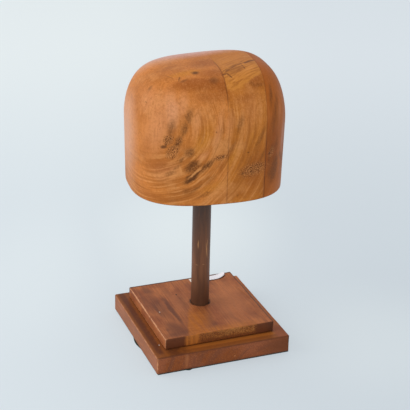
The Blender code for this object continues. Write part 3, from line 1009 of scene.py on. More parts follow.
# Streaks along the upper board's top, and how strongly each kind tints it
UPPER_DARK_STREAKS = board_spots(
    (-52, 8, 96.5, 66, 11, 0.65),
    (-64, 20, 92, 48, 9, 0.40),
    (-54, 55, 102, 18, 9, 0.80),
    (-58, 4, 93, 36, 3.8, 1.00),
    (-40, -8, 91, 54, 5.0, 1.00, 0.4),
    (-52, -50, 92, 27, 15, 0.75, 0.3),
    (-52, -64, 8, 26, 10, 0.80),
    (-62, -51, 60, 7, 5, 0.70),
    (-30, 40, 88, 30, 5, 0.35),
    (4, 48, 88, 24, 7, 0.35),
    (20, -34, 90, 30, 5, 0.25),
    (54, 44, 92, 28, 7, 0.30),
)
UPPER_RED_STREAKS = board_spots((37.5, -28, 92, 34, 3.0, 0.7), (66, 7, 97, 32, 1.8, 0.9))
UPPER_PALE_STREAKS = board_spots(
    (42, -6, 86, 70, 32, 1.0, 0.2),
    (-28, 14, 92, 34, 9, 0.6),
    (20, 20, 90, 30, 6, 0.4),
)
UPPER_STREAKS = [
    (UPPER_DARK_STREAKS, BOARD_DARK, 0.85),
    (UPPER_RED_STREAKS, BLOCK_RED, 0.8),
    (UPPER_PALE_STREAKS, BOARD_PALE, 0.7),
]


def amber_area(colour, point, x, y, wx):
    """An amber area before the post, sharp on its slanting left side and fading to the right."""
    beside = wx - (y - AMBER_CORNER[1]) * AMBER_SLANT - AMBER_CORNER[0]
    front_edge = step(y, -56.0, -70.0) * step(x, 66.0, 30.0)
    amber = step(beside, -2.5, 2.0) * step(y, 0.0, -30.0) * larger(step(beside, 40.0, 8.0), front_edge)
    streaks = streaky(point, (0.35, 0.03, 0.3), 3.0, 0.6)
    colour = mix(amber * (step(streaks, 0.62, 0.38) * 0.5 + 0.4), colour, BOARD_AMBER)
    ripples = streaky(point, (0.06, 0.32, 0.3), 3.0, 0.7)
    colour = mix(amber * step(ripples, 0.50, 0.36) * 0.40, colour, BOARD_BROWN)
    return mix(amber * step(ripples, 0.52, 0.66) * 0.35, colour, BOARD_ORANGE)


def shadow_along_label(colour, x, y):
    """Painted shadow in the corner along the label's front edge."""
    start = (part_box("paper_label")[0] - box_middle("upper_board")) / MM
    corner = clamped((x - start.x - (LABEL_LENGTH - LABEL_CORNER_LENGTH) / MM) / (LABEL_CORNER_LENGTH / MM))
    front = (1.0 - root(1.0 - corner * corner)) * (LABEL_CORNER_DEPTH / MM) + start.y
    along = between(x, start.x, start.x + LABEL_LENGTH / MM, 1.0)
    return mix(step(abs(y - front + 0.6), 1.8, 0.5) * along * 0.85, colour, DIRT_AND_SHADE_BROWN)


def worn_front(point, x, wx, wz):
    """The front face: dark at both ends, then barred, then pitted and worn bright along its top edge."""
    blotches = streaky(point, (0.13, 0.0, 0.10), 3.0, 0.6)
    pits = streaky(point, (0.85, 0.5, 0.60), 5.0, 0.85)
    face = mix(step(pits, 0.44, 0.58) * (1.0 - step(wz, 1.0, -4.0) * 0.45), FRONT_DARK, FRONT_ORANGE)
    ends = clamped(step(wx, -44.0, -48.0) + step(wx, 44.0, 52.0))
    face = mix(ends * 0.9, face, FRONT_DARK)
    face = mix(step(x, 58.0, 74.0) * 0.6, face, DIRT_AND_SHADE_BROWN)
    across = streaky(point, (0.30, 0.0, 0.03))
    bars = between(wx, -47.0, -28.0, 3.0) * (0.45 + step(across, 0.42, 0.56) * 0.35)
    face = mix(bars, face, BOARD_AMBER)
    worn = step(wx, -34.0, 16.0) * step(wx, 52.0, 44.0) * step(wz, -4.0, 1.5)
    worn = worn * step(blotches, 0.36, 0.56) * (0.10 + step(pits, 0.43, 0.56) * 0.90)
    return mix(worn, face, FRONT_GOLD)


def shade_and_marks_at_post(colour, point, x, y):
    """Painted shade round the foot of the post and in the black gap beside it, and two small marks."""
    offset = (box_middle("post") - box_middle("upper_board")) / MM
    foot = root((x - offset.x) ** 2.0 + (y - offset.y) ** 2.0)
    # Painted shade in a ragged ring round the post's foot
    ring = step(foot + cloudy(point, 0.25, 3.0) * 3.0, 17.0, 13.6)
    colour = mix(ring * 0.8, colour, DIRT_AND_SHADE_BROWN)
    spots_and_tints = (
        ((offset.x + 9.6, offset.y - 8.6, 42, 2.6, 1.6, 1.0, 0.5), GAP_SHADE_BLACK),
        ((-20.4, 33.7, 0, 1.5, 2.4, 0.9, 0.5), DIRT_AND_SHADE_BROWN),
        ((-56.9, -4.6, 0, 1.0, 1.8, 0.8, 0.5), SPECK_WHITE),
    )
    for spot, tint in spots_and_tints:
        colour = mix(lay_spots(point, board_spots(spot)), colour, tint)
    return colour


def upper_board_wood():
    material, shader, point, half, colour, roughness, height = board_wood(
        "upper_board_wood",
        "upper_board",
        BOARD_RED,
        BOARD_BROWN,
        (-30.0, 0.0, -75.0),
        UPPER_STREAKS,
    )
    x, y, _ = parts(point)
    wx, _, wz = parts(ragged_point(point, 0.06, 6.0))
    colour = amber_area(colour, point, x, y, wx)
    colour = shadow_along_label(colour, x, y)
    on_front = step(y, 1.2 - half.y, 0.3 - half.y)
    face = worn_front(point, x, wx, wz)
    colour = mix(on_front * 0.92, colour, face)
    colour = shade_and_marks_at_post(colour, point, x, y)
    return finish_material(material, shader, colour, roughness, height, STAND_RELIEF)


def dirty_and_shaded_ledge(colour, point, half, x, y, z):
    """The lower board's ledge, brown with dirt all over, partly painted lighter where the upper board shades
    it, and with painted shade darkest against the upper board.
    """
    upper_half = box_half("upper_board") / MM
    offset = (box_middle("upper_board") - box_middle("lower_board")) / MM
    beside = larger(abs(x - offset.x) - upper_half.x, abs(y - offset.y) - upper_half.y)
    on_top = step(z, half.z - 1.2, half.z - 0.2)
    before = step(y - offset.y, 2.0 - upper_half.y, -2.0 - upper_half.y)
    front = before * step(x, -58.0, -34.0) * step(x, 92.0, 70.0)
    inner = step(y - offset.y, -9.5 - upper_half.y, -6.0 - upper_half.y)
    right = step(x - offset.x, upper_half.x - 2.0, upper_half.x + 2.0)
    left_core = between(x, 4.5 - half.x, 12.0 - half.x, 2.0) * step(y, 6.0 - half.y, 14.0 - half.y)
    ledge = mix(step(cloudy(point, 0.45, 4.0, 0.75), 0.58, 0.38) * 0.6, LEDGE_BROWN, FRONT_DARK)
    ledge = mix(step(cloudy(point, 0.14, 4.0, 0.7), 0.48, 0.66) * 0.4, ledge, FRONT_ORANGE)
    ledge = mix((1.0 - left_core) * step(x, 20.0 - half.x, 14.0 - half.x) * 0.45, ledge, FRONT_ORANGE)
    ledge = mix(left_core * 0.55, ledge, FRONT_DARK)
    ledge = mix(front * 0.55, ledge, FRONT_ORANGE)
    # Partly the wood's tone, partly painted light: brighter amber and red where the upper board shades the
    # ledge
    ledge = mix(front * inner * 0.60, ledge, BOARD_AMBER)
    ledge = mix(right * 0.85, ledge, mix(step(y, -66.0, -54.0), BOARD_BROWN, BOARD_RED))
    colour = mix(on_top * 0.92, colour, ledge)
    # Painted shade against the upper board, strongest in front
    return mix(step(beside, 1.6, 0.6) * on_top * (0.05 + before * 0.40), colour, DIRT_AND_SHADE_BROWN)


def lower_board_wood():
    pale = face_spots((-50.0, 3.0, 0, 3.4, 16.0, 0.3, 0.3), (14.0, -4.0, 0, 1.6, 1.2, 1.0, 0.3))
    arcs = face_spots((80.0, 4.0, 0, 16.0, 3.0, 0.9, 0.3), (88.0, 0.0, 0, 50.0, 18.0, 1.0, 0.3))
    material, shader, point, half, colour, roughness, height = board_wood(
        "lower_board_wood",
        "lower_board",
        BOARD_MID,
        BOARD_BROWN,
        (80.0, 0.0, -60.0),
        [(pale, BOARD_ORANGE, 0.8), (arcs, BOARD_RUSSET, 0.8)],
    )
    x, y, z = parts(point)
    colour = dirty_and_shaded_ledge(colour, point, half, x, y, z)
    front_arris = step(y, 1.7 - half.y, 0.9 - half.y) * step(z, half.z - 1.9, half.z - 1.0)
    colour = mix(front_arris * 0.6, colour, FRONT_DARK)
    # Painted light: the left face, which faces the lamp, tinted lighter orange
    colour = mix(step(x, 1.5 - half.x, 0.5 - half.x) * 0.22, colour, BOARD_ORANGE)
    # Painted shade, darker towards the bottom near the floor
    colour = mix(step(z, -half.z + 4.0, -half.z) * 0.35, colour, DIRT_AND_SHADE_BROWN)
    colour = mix(lay_spots(point, board_spots((-76.1, -58.6, 0, 1.2, 2.0, 0.9, 0.5))), colour, SPECK_WHITE)
    return finish_material(material, shader, colour, roughness, height, STAND_RELIEF)


# Scratches on the post, as lay_spots takes them, in millimetres from its axis and from the table
POST_SCRATCHES = [
    ((-7.4, -9.3, 127.0), ZERO, (0.8, 4.0, 8.0), 0.2, 1.0),
    ((4.0, -11.3, 129.0), ZERO, (0.7, 4.0, 7.0), 0.2, 0.8),
    ((3.4, -11.5, 118.0), (0.0, -0.10, 0.0), (1.0, 4.0, 14.0), 0.3, 1.0),
    ((-8.5, -8.3, 97.5), ZERO, (2.2, 4.0, 0.6), 0.2, 0.7),
    ((-1.0, -11.9, 98.5), ZERO, (2.6, 4.0, 0.6), 0.2, 0.7),
]


def post_wood():
    foot = box_middle("post") * Vector((1.0, 1.0, 0.0))
    material, tree, shader, point = begin_material("post_wood", 0.46, foot, specular=0.36)
    x, y, z = parts(point)
    inputs = {"Point": vector_of(tree, x, z, y), "Pith": (9.0, 0.0, 3.0)}
    inputs |= {"Ring Gap": 3.0, "Line Gap": 0.8, "Wander": 2.0, "Fibre Length": 18.0, "Fibre Width": 0.6}
    grain = use(tree, WOOD_GRAIN, inputs)
    colour = mix(step(grain["Band"], 0.42, 0.66) * 0.5, POST_BROWN, DIRT_AND_SHADE_BROWN)
    colour = mix(step(z, 118.0, 190.0) * 0.95, colour, POST_GREY)
    colour = mix(step(grain["Fibre"], 0.52, 0.74) * 0.40, colour, POST_RED)
    colour = mix(step(grain["Fibre"], 0.48, 0.26) * 0.45, colour, DIRT_AND_SHADE_BROWN)
    rubbed = lay_spots(ragged_point(point, 0.35, 1.6), POST_SCRATCHES)
    colour = mix(clamped(rubbed * (grain["Fibre"] * 1.2 + 0.4)), colour, POST_BARE)
    # Painted shade, darker towards the foot and more on the right, away from the light
    colour = mix(step(z, 90.0, 44.0) * (0.56 + step(x, 0.0, 12.0) * 0.14), colour, DIRT_AND_SHADE_BROWN)
    height = grain["Fibre"] * 0.6 - rubbed * 0.3
    roughness = 0.36 + grain["Fibre"] * 0.16
    return finish_material(material, shader, colour, roughness, height, STAND_RELIEF)


def baize_cloth():
    material, _, shader, point = begin_material("baize_cloth", 0.95)
    shader.inputs["Sheen Weight"].default_value = 0.1
    shader.inputs["Sheen Roughness"].default_value = 0.6
    nap = cloudy(point, 2.2, 4.0, 0.7)
    worn = step(cloudy(point, 0.05, 4.0, 0.6), 0.5, 0.75)
    colour = mix(worn * 0.6, mix(step(nap, 0.35, 0.70), BAIZE_GREEN, BAIZE_WORN), BAIZE_WORN)
    return finish_material(material, shader, colour, None, nap, BAIZE_RELIEF)


def screw_metal():
    material, tree, shader, point = begin_material("screw_metal", 0.35, specular=0.5)
    rust = step(cloudy(point, 0.5, 5.0, 0.7), 0.48, 0.62)
    brushed = streaky(point, (0.4, 6.0, 6.0), 3.0)
    colour = mix(rust * 0.7, STEEL_GREY, RUST_BROWN)
    feed(tree, shader.inputs["Metallic"], 1.0 - rust * 0.8)
    roughness = 0.28 + brushed * 0.2 + rust * 0.4
    return finish_material(material, shader, colour, roughness, brushed, STEEL_RELIEF)


def label_paper():
    material, _, shader, point = begin_material("label_paper", 0.85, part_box("paper_label")[0])
    pulp = cloudy(point, 1.2, 5.0, 0.7)
    aged = step(cloudy(point, 0.08, 3.0), 0.52, 0.80)
    colour = mix(aged * 0.25 + step(pulp, 0.6, 0.3) * 0.08, PAPER_WHITE, PAPER_YELLOW)
    colour = mix(step(parts(point)[0], 9.0, 5.0), colour, PAPER_CREAM)
    return finish_material(material, shader, colour, None, pulp, PAPER_RELIEF)


def floor_paint():
    """Pale paper, painted a little brighter at the back and on the left as the light falls there, and in
    pools of painted light.
    """
    material, tree, shader, point = begin_material("floor_paint", 0.9, specular=0.1)
    x, y, _ = parts(point)
    side = x * math.cos(VIEW_AZIMUTH) + y * math.sin(VIEW_AZIMUTH)
    depth = y * math.cos(VIEW_AZIMUTH) - x * math.sin(VIEW_AZIMUTH)
    # Painted light: the floor's colour is lighter at the back and on the left, as the light falls
    right = step(side, FLOOR_LEFT_END, FLOOR_RIGHT_END)
    far = step(depth, FLOOR_NEAR_END, FLOOR_FAR_END)
    near_colour = mix(right, FLOOR_NEAR_LEFT, FLOOR_NEAR_RIGHT)
    far_colour = mix(right, FLOOR_FAR_LEFT, FLOOR_FAR_RIGHT)
    colour = mix(far, near_colour, far_colour)
    # Painted pools of light that offset part of the object's shadow
    colour = mix(lay_spots(vector_of(tree, side, depth, 0.0), FLOOR_PAINTED_LIGHT_AREAS), colour, FLOOR_PAINTED_LIGHT)

    # Where it is looked at, part of its brightness is its own, so that the object's shadow is faint
    ray = tree.nodes.new("ShaderNodeLightPath").outputs
    seen = Wire(tree, ray["Is Camera Ray"])
    for kind in ("Is Glossy Ray", "Is Transmission Ray"):
        seen = larger(seen, Wire(tree, ray[kind]))
    feed(tree, shader.inputs["Emission Color"], colour)
    feed(tree, shader.inputs["Emission Strength"], seen * FLOOR_GLOW * FLOOR_LIGHT_LEVEL)
    return finish_material(material, shader, mix(seen * FLOOR_GLOW, colour, ZERO))


# Shapes made by geometry trees


def place_object(name, data):
    """A new object in the scene, for a mesh, a camera or a lamp."""
    new = bpy.data.objects.new(name, data)
    bpy.context.scene.collection.objects.link(new)
    return new


def grow(tree, finish, **changed):
    """Runs a geometry tree, with its own inputs where none is given, and returns a plain mesh."""
    carrier = place_object(tree.name, bpy.data.meshes.new(tree.name))
    modifier = carrier.modifiers.new(tree.name, "NODES")
    modifier.node_group = tree
    for item in tree.interface.items_tree:
        if item.in_out == "INPUT":
            own = finish if item.name == "Finish" else item.default_value
            modifier[item.identifier] = changed.get(item.name.lower(), own)
    return take_mesh(carrier)


def take_mesh(carrier):
    """The carrier's evaluated mesh. The carrier itself is removed."""
    bpy.context.view_layer.update()
    evaluated = carrier.evaluated_get(bpy.context.evaluated_depsgraph_get())
    mesh = bpy.data.meshes.new_from_object(evaluated)
    bpy.data.objects.remove(carrier, do_unlink=True)
    return mesh


def finish_tree(tree, results, geometry, material):
    """Ends a geometry tree in Realize Instances, Set Material and Set Shade Smooth."""
    real = wire_from(tree, "GeometryNodeRealizeInstances", {"Geometry": geometry})
    painted = wire_from(tree, "GeometryNodeSetMaterial", {"Geometry": real, "Material": material})
    feed(tree, results["Mesh"], wire_from(tree, "GeometryNodeSetShadeSmooth", {"Geometry": painted}))


def unevenness(tree, scale, detail):
    """Soft noise over the geometry's own position, from 0 to 1."""
    return cloudy(wire_from(tree, "GeometryNodeInputPosition"), scale, detail)


def move_to(tree, geometry, position):
    return wire_from(tree, "GeometryNodeSetPosition", {"Geometry": geometry, "Position": position})


def move_inwards(tree, geometry, amount):
    """Moves each point against its normal by an amount."""
    inwards = scaled(wire_from(tree, "GeometryNodeInputNormal"), amount)
    inputs = {"Geometry": geometry, "Offset": scaled(inwards, (-1.0, -1.0, -1.0))}
    return wire_from(tree, "GeometryNodeSetPosition", inputs)


def ring_shares(tree, rings):
    """How far a point of the ball is through the underside, the rim's rounding, the wall and the dome."""
    index = wire_from(tree, "GeometryNodeInputIndex")
    up = rings - (maths(tree, "FLOOR", (index - 1.0) / BLOCK_SEGMENTS) + 1.0)
    under = clamped(up / UNDER_RINGS)
    rounding = clamped((up - UNDER_RINGS) / ROUNDING_RINGS)
    wall = clamped((up - (UNDER_RINGS + ROUNDING_RINGS)) / WALL_RINGS)
    return under, rounding, wall, clamped((up - (rings - DOME_RINGS)) / DOME_RINGS)


def squared_oval(tree, squareness, half_length, half_width):
    """X and Y of each point, which keeps its direction from the axis and lies on a squared oval."""
    ball_x, ball_y, _ = parts(wire_from(tree, "GeometryNodeInputPosition"))
    angle = maths(tree, "ARCTAN2", ball_y, ball_x)
    along = maths(tree, "COSINE", angle)
    across = maths(tree, "SINE", angle)
    out = (abs(along) ** squareness + abs(across) ** squareness) ** (-1.0 / squareness)
    return half_length * out * along, half_width * out * across


def squared_oval_dome():
    """A ball whose rings are laid out over the underside, the rim, the wall and the dome."""
    sizes = {
        "Rim Length": RIM_LENGTH,
        "Rim Width": RIM_WIDTH,
        "Rim Rounding": RIM_ROUNDING,
        "Shoulder Length": SHOULDER_LENGTH,
        "Shoulder Width": SHOULDER_WIDTH,
        "Wall Height": BLOCK_HEIGHT - DOME_HEIGHT,
        "Dome Height": DOME_HEIGHT,
        "Rim Squareness": RIM_SQUARENESS,
        "Top Squareness": TOP_SQUARENESS,
        "Wall Curve": WALL_CURVE,
        "Dome Curve Along": DOME_CURVE_ALONG,
        "Dome Curve Across": DOME_CURVE_ACROSS,
        "Dome Curve Up": DOME_CURVE_UP,
        "Top Slope": TOP_SLOPE,
        "Unevenness": BLOCK_UNEVENNESS,
    }
    tree, given, results = begin_shape_group("squared_oval_dome", sizes)
    rings = UNDER_RINGS + ROUNDING_RINGS + WALL_RINGS + DOME_RINGS
    inputs = {"Segments": BLOCK_SEGMENTS, "Rings": rings, "Radius": 1.0}
    ball = wire_from(tree, "GeometryNodeMeshUVSphere", inputs)
    under, rounding, wall, dome = ring_shares(tree, rings)
    turned = rounding * (math.pi / 2)
    reach = (1.0 - dome * dome) ** DOME_SPREAD
    rise = root(1.0 - reach * reach)
    lift = rise ** (2.0 / given["Dome Curve Up"])
    spread = wall ** given["Wall Curve"]
    inset = given["Rim Rounding"] * (1.0 - maths(tree, "SINE", turned))
    halves = []
    for side, curve in (("Length", "Dome Curve Along"), ("Width", "Dome Curve Across")):
        rim = given["Rim " + side]
        half = rim / 2.0 - inset + (given["Shoulder " + side] - rim) / 2.0 * spread
        halves.append(under * half * reach ** (2.0 / given[curve]))
    squareness = given["Rim Squareness"] + (given["Top Squareness"] - given["Rim Squareness"]) * rise
    x, y = squared_oval(tree, squareness, *halves)
    height = given["Rim Rounding"] * (1.0 - maths(tree, "COSINE", turned))
    height = height + (given["Wall Height"] - given["Rim Rounding"]) * wall
    height = height + (given["Dome Height"] + given["Top Slope"] * x) * lift
    shaped = move_to(tree, ball, vector_of(tree, x, y, height))
    amount = unevenness(tree, BLOCK_UNEVEN_SCALE, 2.0) * given["Unevenness"] * clamped(wall * 4.0)
    finish_tree(tree, results, move_inwards(tree, shaped, amount), given["Finish"])
    return tree


def worn_board():
    """A board whose arrises are rounded unevenly and nibbled here and there."""
    inputs = {
        "Size": (0.1, 0.1, 0.02),
        "Arris": 0.001,
        "Corner": 0.0012,
        "Wear": 0.5,
        "Nibbling": 0.00035,
    }
    tree, given, results = begin_shape_group("worn_board", inputs)
    steps = {"X": BOARD_STEPS, "Y": BOARD_STEPS, "Z": BOARD_THICKNESS_STEPS}
    counts = {"Vertices " + axis: count + 1 for axis, count in steps.items()}
    cube = wire_from(tree, "GeometryNodeMeshCube", {"Size": (2.0, 2.0, 2.0), **counts})
    place = wire_from(tree, "GeometryNodeInputPosition")
    halves = [side / 2.0 for side in parts(given["Size"])]
    unit = parts(place)
    real = vector_maths(tree, "MULTIPLY", place, vector_of(tree, *halves))
    arris = given["Arris"] * (1.0 + (cloudy(real, ARRIS_WEAR_SCALE, 3.0) - 0.5) * given["Wear"] * 2.0)
    arris = arris + given["Corner"] * step(smaller(abs(unit[0]), abs(unit[1])), 0.93, 1.0)

    # The outermost steps of the grid lie in the arris, and the others share out the flat
    inner, outer = [], []
    for share, half, count in zip(unit, halves, steps.values()):
        flat_share = 1.0 - 2.0 * ARRIS_STEPS / count
        size = abs(share)
        flat = smaller(size, flat_share) / flat_share * (half - arris)
        rest = larger(size - flat_share, 0.0) / (1.0 - flat_share) * arris
        side = maths(tree, "SIGN", share)
        inner.append(flat * side)
        outer.append(rest * side)
    edge = vector_of(tree, *outer)
    length = vector_maths(tree, "LENGTH", edge)
    position = vector_maths(tree, "ADD", vector_of(tree, *inner), scaled(edge, arris / length))
    inputs = {"Geometry": cube, "Name": "on_edge", "Value": clamped((length / arris - 1.0) * 6.0)}
    stored = wire_from(tree, "GeometryNodeStoreNamedAttribute", inputs, data_type="FLOAT", domain="POINT")
    shaped = move_to(tree, stored, position)
    on_edge = wire_from(tree, "GeometryNodeInputNamedAttribute", {"Name": "on_edge"}, data_type="FLOAT")
    nibbles = step(unevenness(tree, NIBBLE_SCALE, 3.0), 0.52, 0.72) * on_edge
    finish_tree(tree, results, move_inwards(tree, shaped, nibbles * given["Nibbling"]), given["Finish"])
    return tree


def wood_screw():
    """A countersunk screw, head down, whose thread is cut into its shank as a helix."""
    inputs = {
        "Length": 0.03,
        "Head Radius": SCREW_HEAD_RADIUS,
        "Head Height": SCREW_HEAD_HEIGHT,
        "Shank Radius": SCREW_SHANK_RADIUS,
        "Thread Pitch": SCREW_THREAD_PITCH,
        "Thread Depth": SCREW_THREAD_DEPTH,
    }
    tree, given, results = begin_shape_group("wood_screw", inputs)
    inputs = {"Vertices": SCREW_SEGMENTS, "Side Segments": SCREW_RINGS, "Radius": 1.0, "Depth": 1.0}
    rod = wire_from(tree, "GeometryNodeMeshCylinder", inputs, fill_type="TRIANGLE_FAN")
    x, y, z = parts(wire_from(tree, "GeometryNodeInputPosition"))
    height = (z + 0.5) * given["Length"]
    shank = given["Shank Radius"]
    cone = (height - SCREW_HEAD_EDGE) / (given["Head Height"] - SCREW_HEAD_EDGE)
    radius = given["Head Radius"] - clamped(cone) * (given["Head Radius"] - shank)
    to_point = (given["Length"] - height) / SCREW_POINT_LENGTH
    radius = smaller(radius, to_point * (shank - SCREW_POINT_RADIUS) + SCREW_POINT_RADIUS)
    turns = height / given["Thread Pitch"] - maths(tree, "ARCTAN2", y, x) / (2 * math.pi)
    groove = abs(maths(tree, "FRACT", turns) * 2.0 - 1.0)
    threaded = step(height, SCREW_THREAD_START, SCREW_THREAD_START + SCREW_THREAD_RUNOUT)
    radius = larger(radius - groove * given["Thread Depth"] * threaded, SCREW_POINT_RADIUS * 0.5)
    shaped = move_to(tree, rod, vector_of(tree, x * radius, y * radius, height))
    finish_tree(tree, results, shaped, given["Finish"])
    return tree


# Shapes made by hand


def mesh_from(bm, name, material, smooth=True):
    """A mesh with its faces turned outwards. The bmesh itself is freed."""
    bmesh.ops.recalc_face_normals(bm, faces=bm.faces)
    mesh = bpy.data.meshes.new(name)
    bm.to_mesh(mesh)
    bm.free()
    mesh.materials.append(material)
    if smooth:
        mesh.shade_smooth()
    return mesh


def turned_mesh(name, profile, segments, material, uneven=0.0):
    """A solid turned about Z from (radius, height) points, listed from the bottom up."""
    bm = bmesh.new()
    rings = []
    for radius, height in profile:
        ring = []
        for i in range(segments):
            angle = 2 * math.pi * i / segments
            along, across = math.cos(angle), math.sin(angle)
            spot = Vector((along * UNEVEN_ROUND, across * UNEVEN_ROUND, height * UNEVEN_UP))
            own = radius - uneven * (noise.noise(spot) + 1.0)
            ring.append(bm.verts.new((own * along, own * across, height)))
        rings.append(ring)
    for below, above in zip(rings, rings[1:]):
        for i in range(segments):
            j = (i + 1) % segments
            bm.faces.new((below[i], below[j], above[j], above[i]))
    bm.faces.new(rings[0])
    bm.faces.new(rings[-1])
    return mesh_from(bm, name, material)


def box_mesh(name, low, high, material):
    bm = bmesh.new()
    bmesh.ops.create_cube(bm, size=1.0)
    bmesh.ops.scale(bm, vec=high - low, verts=bm.verts)
    bmesh.ops.translate(bm, vec=(low + high) / 2, verts=bm.verts)
    return mesh_from(bm, name, material, smooth=False)


def cut_away(mesh, cutters):
    """Cuts closed meshes out of a mesh and returns what is left."""
    target = place_object(mesh.name, mesh)
    tools = []
    for cutter in cutters:
        tool = place_object(cutter.name, cutter)
        tools.append(tool)
        cut = target.modifiers.new(cutter.name, "BOOLEAN")
        cut.operation = "DIFFERENCE"
        cut.solver = "EXACT"
        cut.object = tool
    result = take_mesh(target)
    for tool in tools:
        bpy.data.objects.remove(tool, do_unlink=True)
    return result


def show(name, mesh, body, slot, *nodes):
    """Puts a finished mesh in the scene as a piece that stands for CAD nodes."""
    mesh.name = name
    piece = place_object(name, mesh)
    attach(piece, body)
    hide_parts(*nodes)
    return piece


def sharpen(mesh, degrees):
    """Keeps the edges sharp where two faces meet at more than an angle."""
    mesh.set_sharp_from_angle(angle=math.radians(degrees))


def block_frame():
    """Where the block's own frame lies: on the post's axis at the rim, turned."""
    foot = post_axis()[0]
    return Vector((foot.x, foot.y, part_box("block_left_piece")[0].z))


def ease_and_saw(bm, x, keep_left):
    """Cuts the block across at x, keeps one side, sinks the cut's edge a little and closes the cut."""
    inwards = -1.0 if keep_left else 1.0
    everything = bm.verts[:] + bm.edges[:] + bm.faces[:]
    plane = {"dist": CUT_TOLERANCE, "plane_no": (1, 0, 0)}
    bmesh.ops.bisect_plane(bm, geom=everything, plane_co=(x + inwards * JOINT_EASE_WIDTH, 0, 0), **plane)
    everything = bm.verts[:] + bm.edges[:] + bm.faces[:]
    plane |= {"clear_outer": keep_left, "clear_inner": not keep_left}
    cut = bmesh.ops.bisect_plane(bm, geom=everything, plane_co=(x, 0, 0), **plane)
    bm.normal_update()
    rim_points = [v for v in cut["geom_cut"] if isinstance(v, bmesh.types.BMVert)]
    for vert in rim_points:
        if vert.co.z > RIM_ROUNDING:
            vert.co -= Vector((0, vert.normal.y, vert.normal.z)) * JOINT_EASE_DEPTH
    rim_edges = [e for e in cut["geom_cut"] if isinstance(e, bmesh.types.BMEdge)]
    bmesh.ops.holes_fill(bm, edges=rim_edges, sides=0)


def make_block():
    origin = block_frame()
    low, left, right, high = -BLOCK_REACH, LEFT_JOINT / MM, RIGHT_JOINT / MM, BLOCK_REACH
    woods = {
        "block_left_piece": ("block_left", low, left, BLOCK_ORANGE, BLOCK_PALE),
        "block_middle_plank": ("block_middle", left, right, BLOCK_PLANK, BLOCK_PALE),
        "block_right_strip": ("block_right", right, high, BLOCK_STRIP, STRIP_PALE),
    }
    tree = squared_oval_dome()
    to_world = Matrix.Translation(origin) @ Matrix.Rotation(BLOCK_TURN, 4, "Z")
    for node, (slot, low_x, high_x, tone, pale) in woods.items():
        patched = slot == "block_middle"
        finish = block_timber(slot + "_timber", low_x, high_x, tone, pale, patched, origin, BLOCK_TURN)
        bm = bmesh.new()
        bm.from_mesh(grow(tree, finish))
        if low_x > low:
            ease_and_saw(bm, low_x * MM + JOINT_GAP / 2, keep_left=False)
        if high_x < high:
            ease_and_saw(bm, high_x * MM - JOINT_GAP / 2, keep_left=True)
        whole = mesh_from(bm, node, finish)
        bore = post_axis()[2] + SOCKET_CLEARANCE
        profile = [(bore, -CUT_OVERSHOOT), (bore, SOCKET_DEPTH)]
        mesh = cut_away(whole, [turned_mesh("socket_cutter", profile, HOLE_SEGMENTS, finish)])
        mesh.transform(to_world)
        sharpen(mesh, BLOCK_SHARP_ANGLE)
        show(node.replace("block_", "block_wood_"), mesh, "block", slot, node)


def make_post():
    foot, length, radius = post_axis()
    profile = [(radius - POST_CHAMFER, 0.0)]
    for i in range(POST_RINGS + 1):
        profile.append((radius, POST_CHAMFER + (length - 2 * POST_CHAMFER) * i / POST_RINGS))
    profile.append((radius - POST_CHAMFER, length))
    mesh = turned_mesh("post_dowel", profile, POST_SEGMENTS, post_wood(), POST_UNEVENNESS)
    mesh.transform(Matrix.Translation(foot))
    sharpen(mesh, POST_SHARP_ANGLE)
    show("post_dowel", mesh, "post", "post_wood", "post")


def screw_nodes():
    return sorted(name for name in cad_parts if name.startswith("plinth_screw_"))


def hole_cutters(material):
    """Cutters of the post's hole and of the four screw holes."""
    foot, _, radius = post_axis()
    bore = radius + POST_HOLE_CLEARANCE
    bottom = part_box("lower_board")[0].z + POST_HOLE_FLOOR
    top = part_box("upper_board")[1].z + CUT_OVERSHOOT
    hole = turned_mesh("post_hole_cutter", [(bore, bottom), (bore, top)], HOLE_SEGMENTS, material)
    hole.transform(Matrix.Translation((foot.x, foot.y, 0)))
    cutters = [hole]
    for name in screw_nodes():
        low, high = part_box(name)
        clearance = SCREW_HOLE_CLEARANCE
        profile = [
            (SCREW_HEAD_RADIUS + clearance, -clearance),
            (SCREW_HEAD_RADIUS + clearance, SCREW_HEAD_EDGE),
            (SCREW_SHANK_RADIUS + clearance, SCREW_HEAD_HEIGHT),
            (SCREW_SHANK_RADIUS + clearance, high.z - low.z - SCREW_POINT_LENGTH),
            (SCREW_POINT_RADIUS + clearance, high.z - low.z + clearance),
        ]
        cutter = turned_mesh("cutter_" + name, profile, SCREW_SEGMENTS, material)
        cutter.transform(Matrix.Translation(box_foot(name)))
        cutters.append(cutter)
    return cutters


def make_boards():
    tree = worn_board()
    boards = {
        "lower_board": (lower_board_wood(), LOWER_ARRIS, "lower_board_wood"),
        "upper_board": (upper_board_wood(), UPPER_ARRIS, "upper_board_wood"),
    }
    for node, (finish, arris, name) in boards.items():
        low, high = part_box(node)
        mesh = grow(tree, finish, size=high - low, arris=arris)
        mesh.transform(Matrix.Translation(box_middle(node)))
        mesh = cut_away(mesh, hole_cutters(finish))
        sharpen(mesh, BOARD_SHARP_ANGLE)
        show(name, mesh, "plinth", node, node)


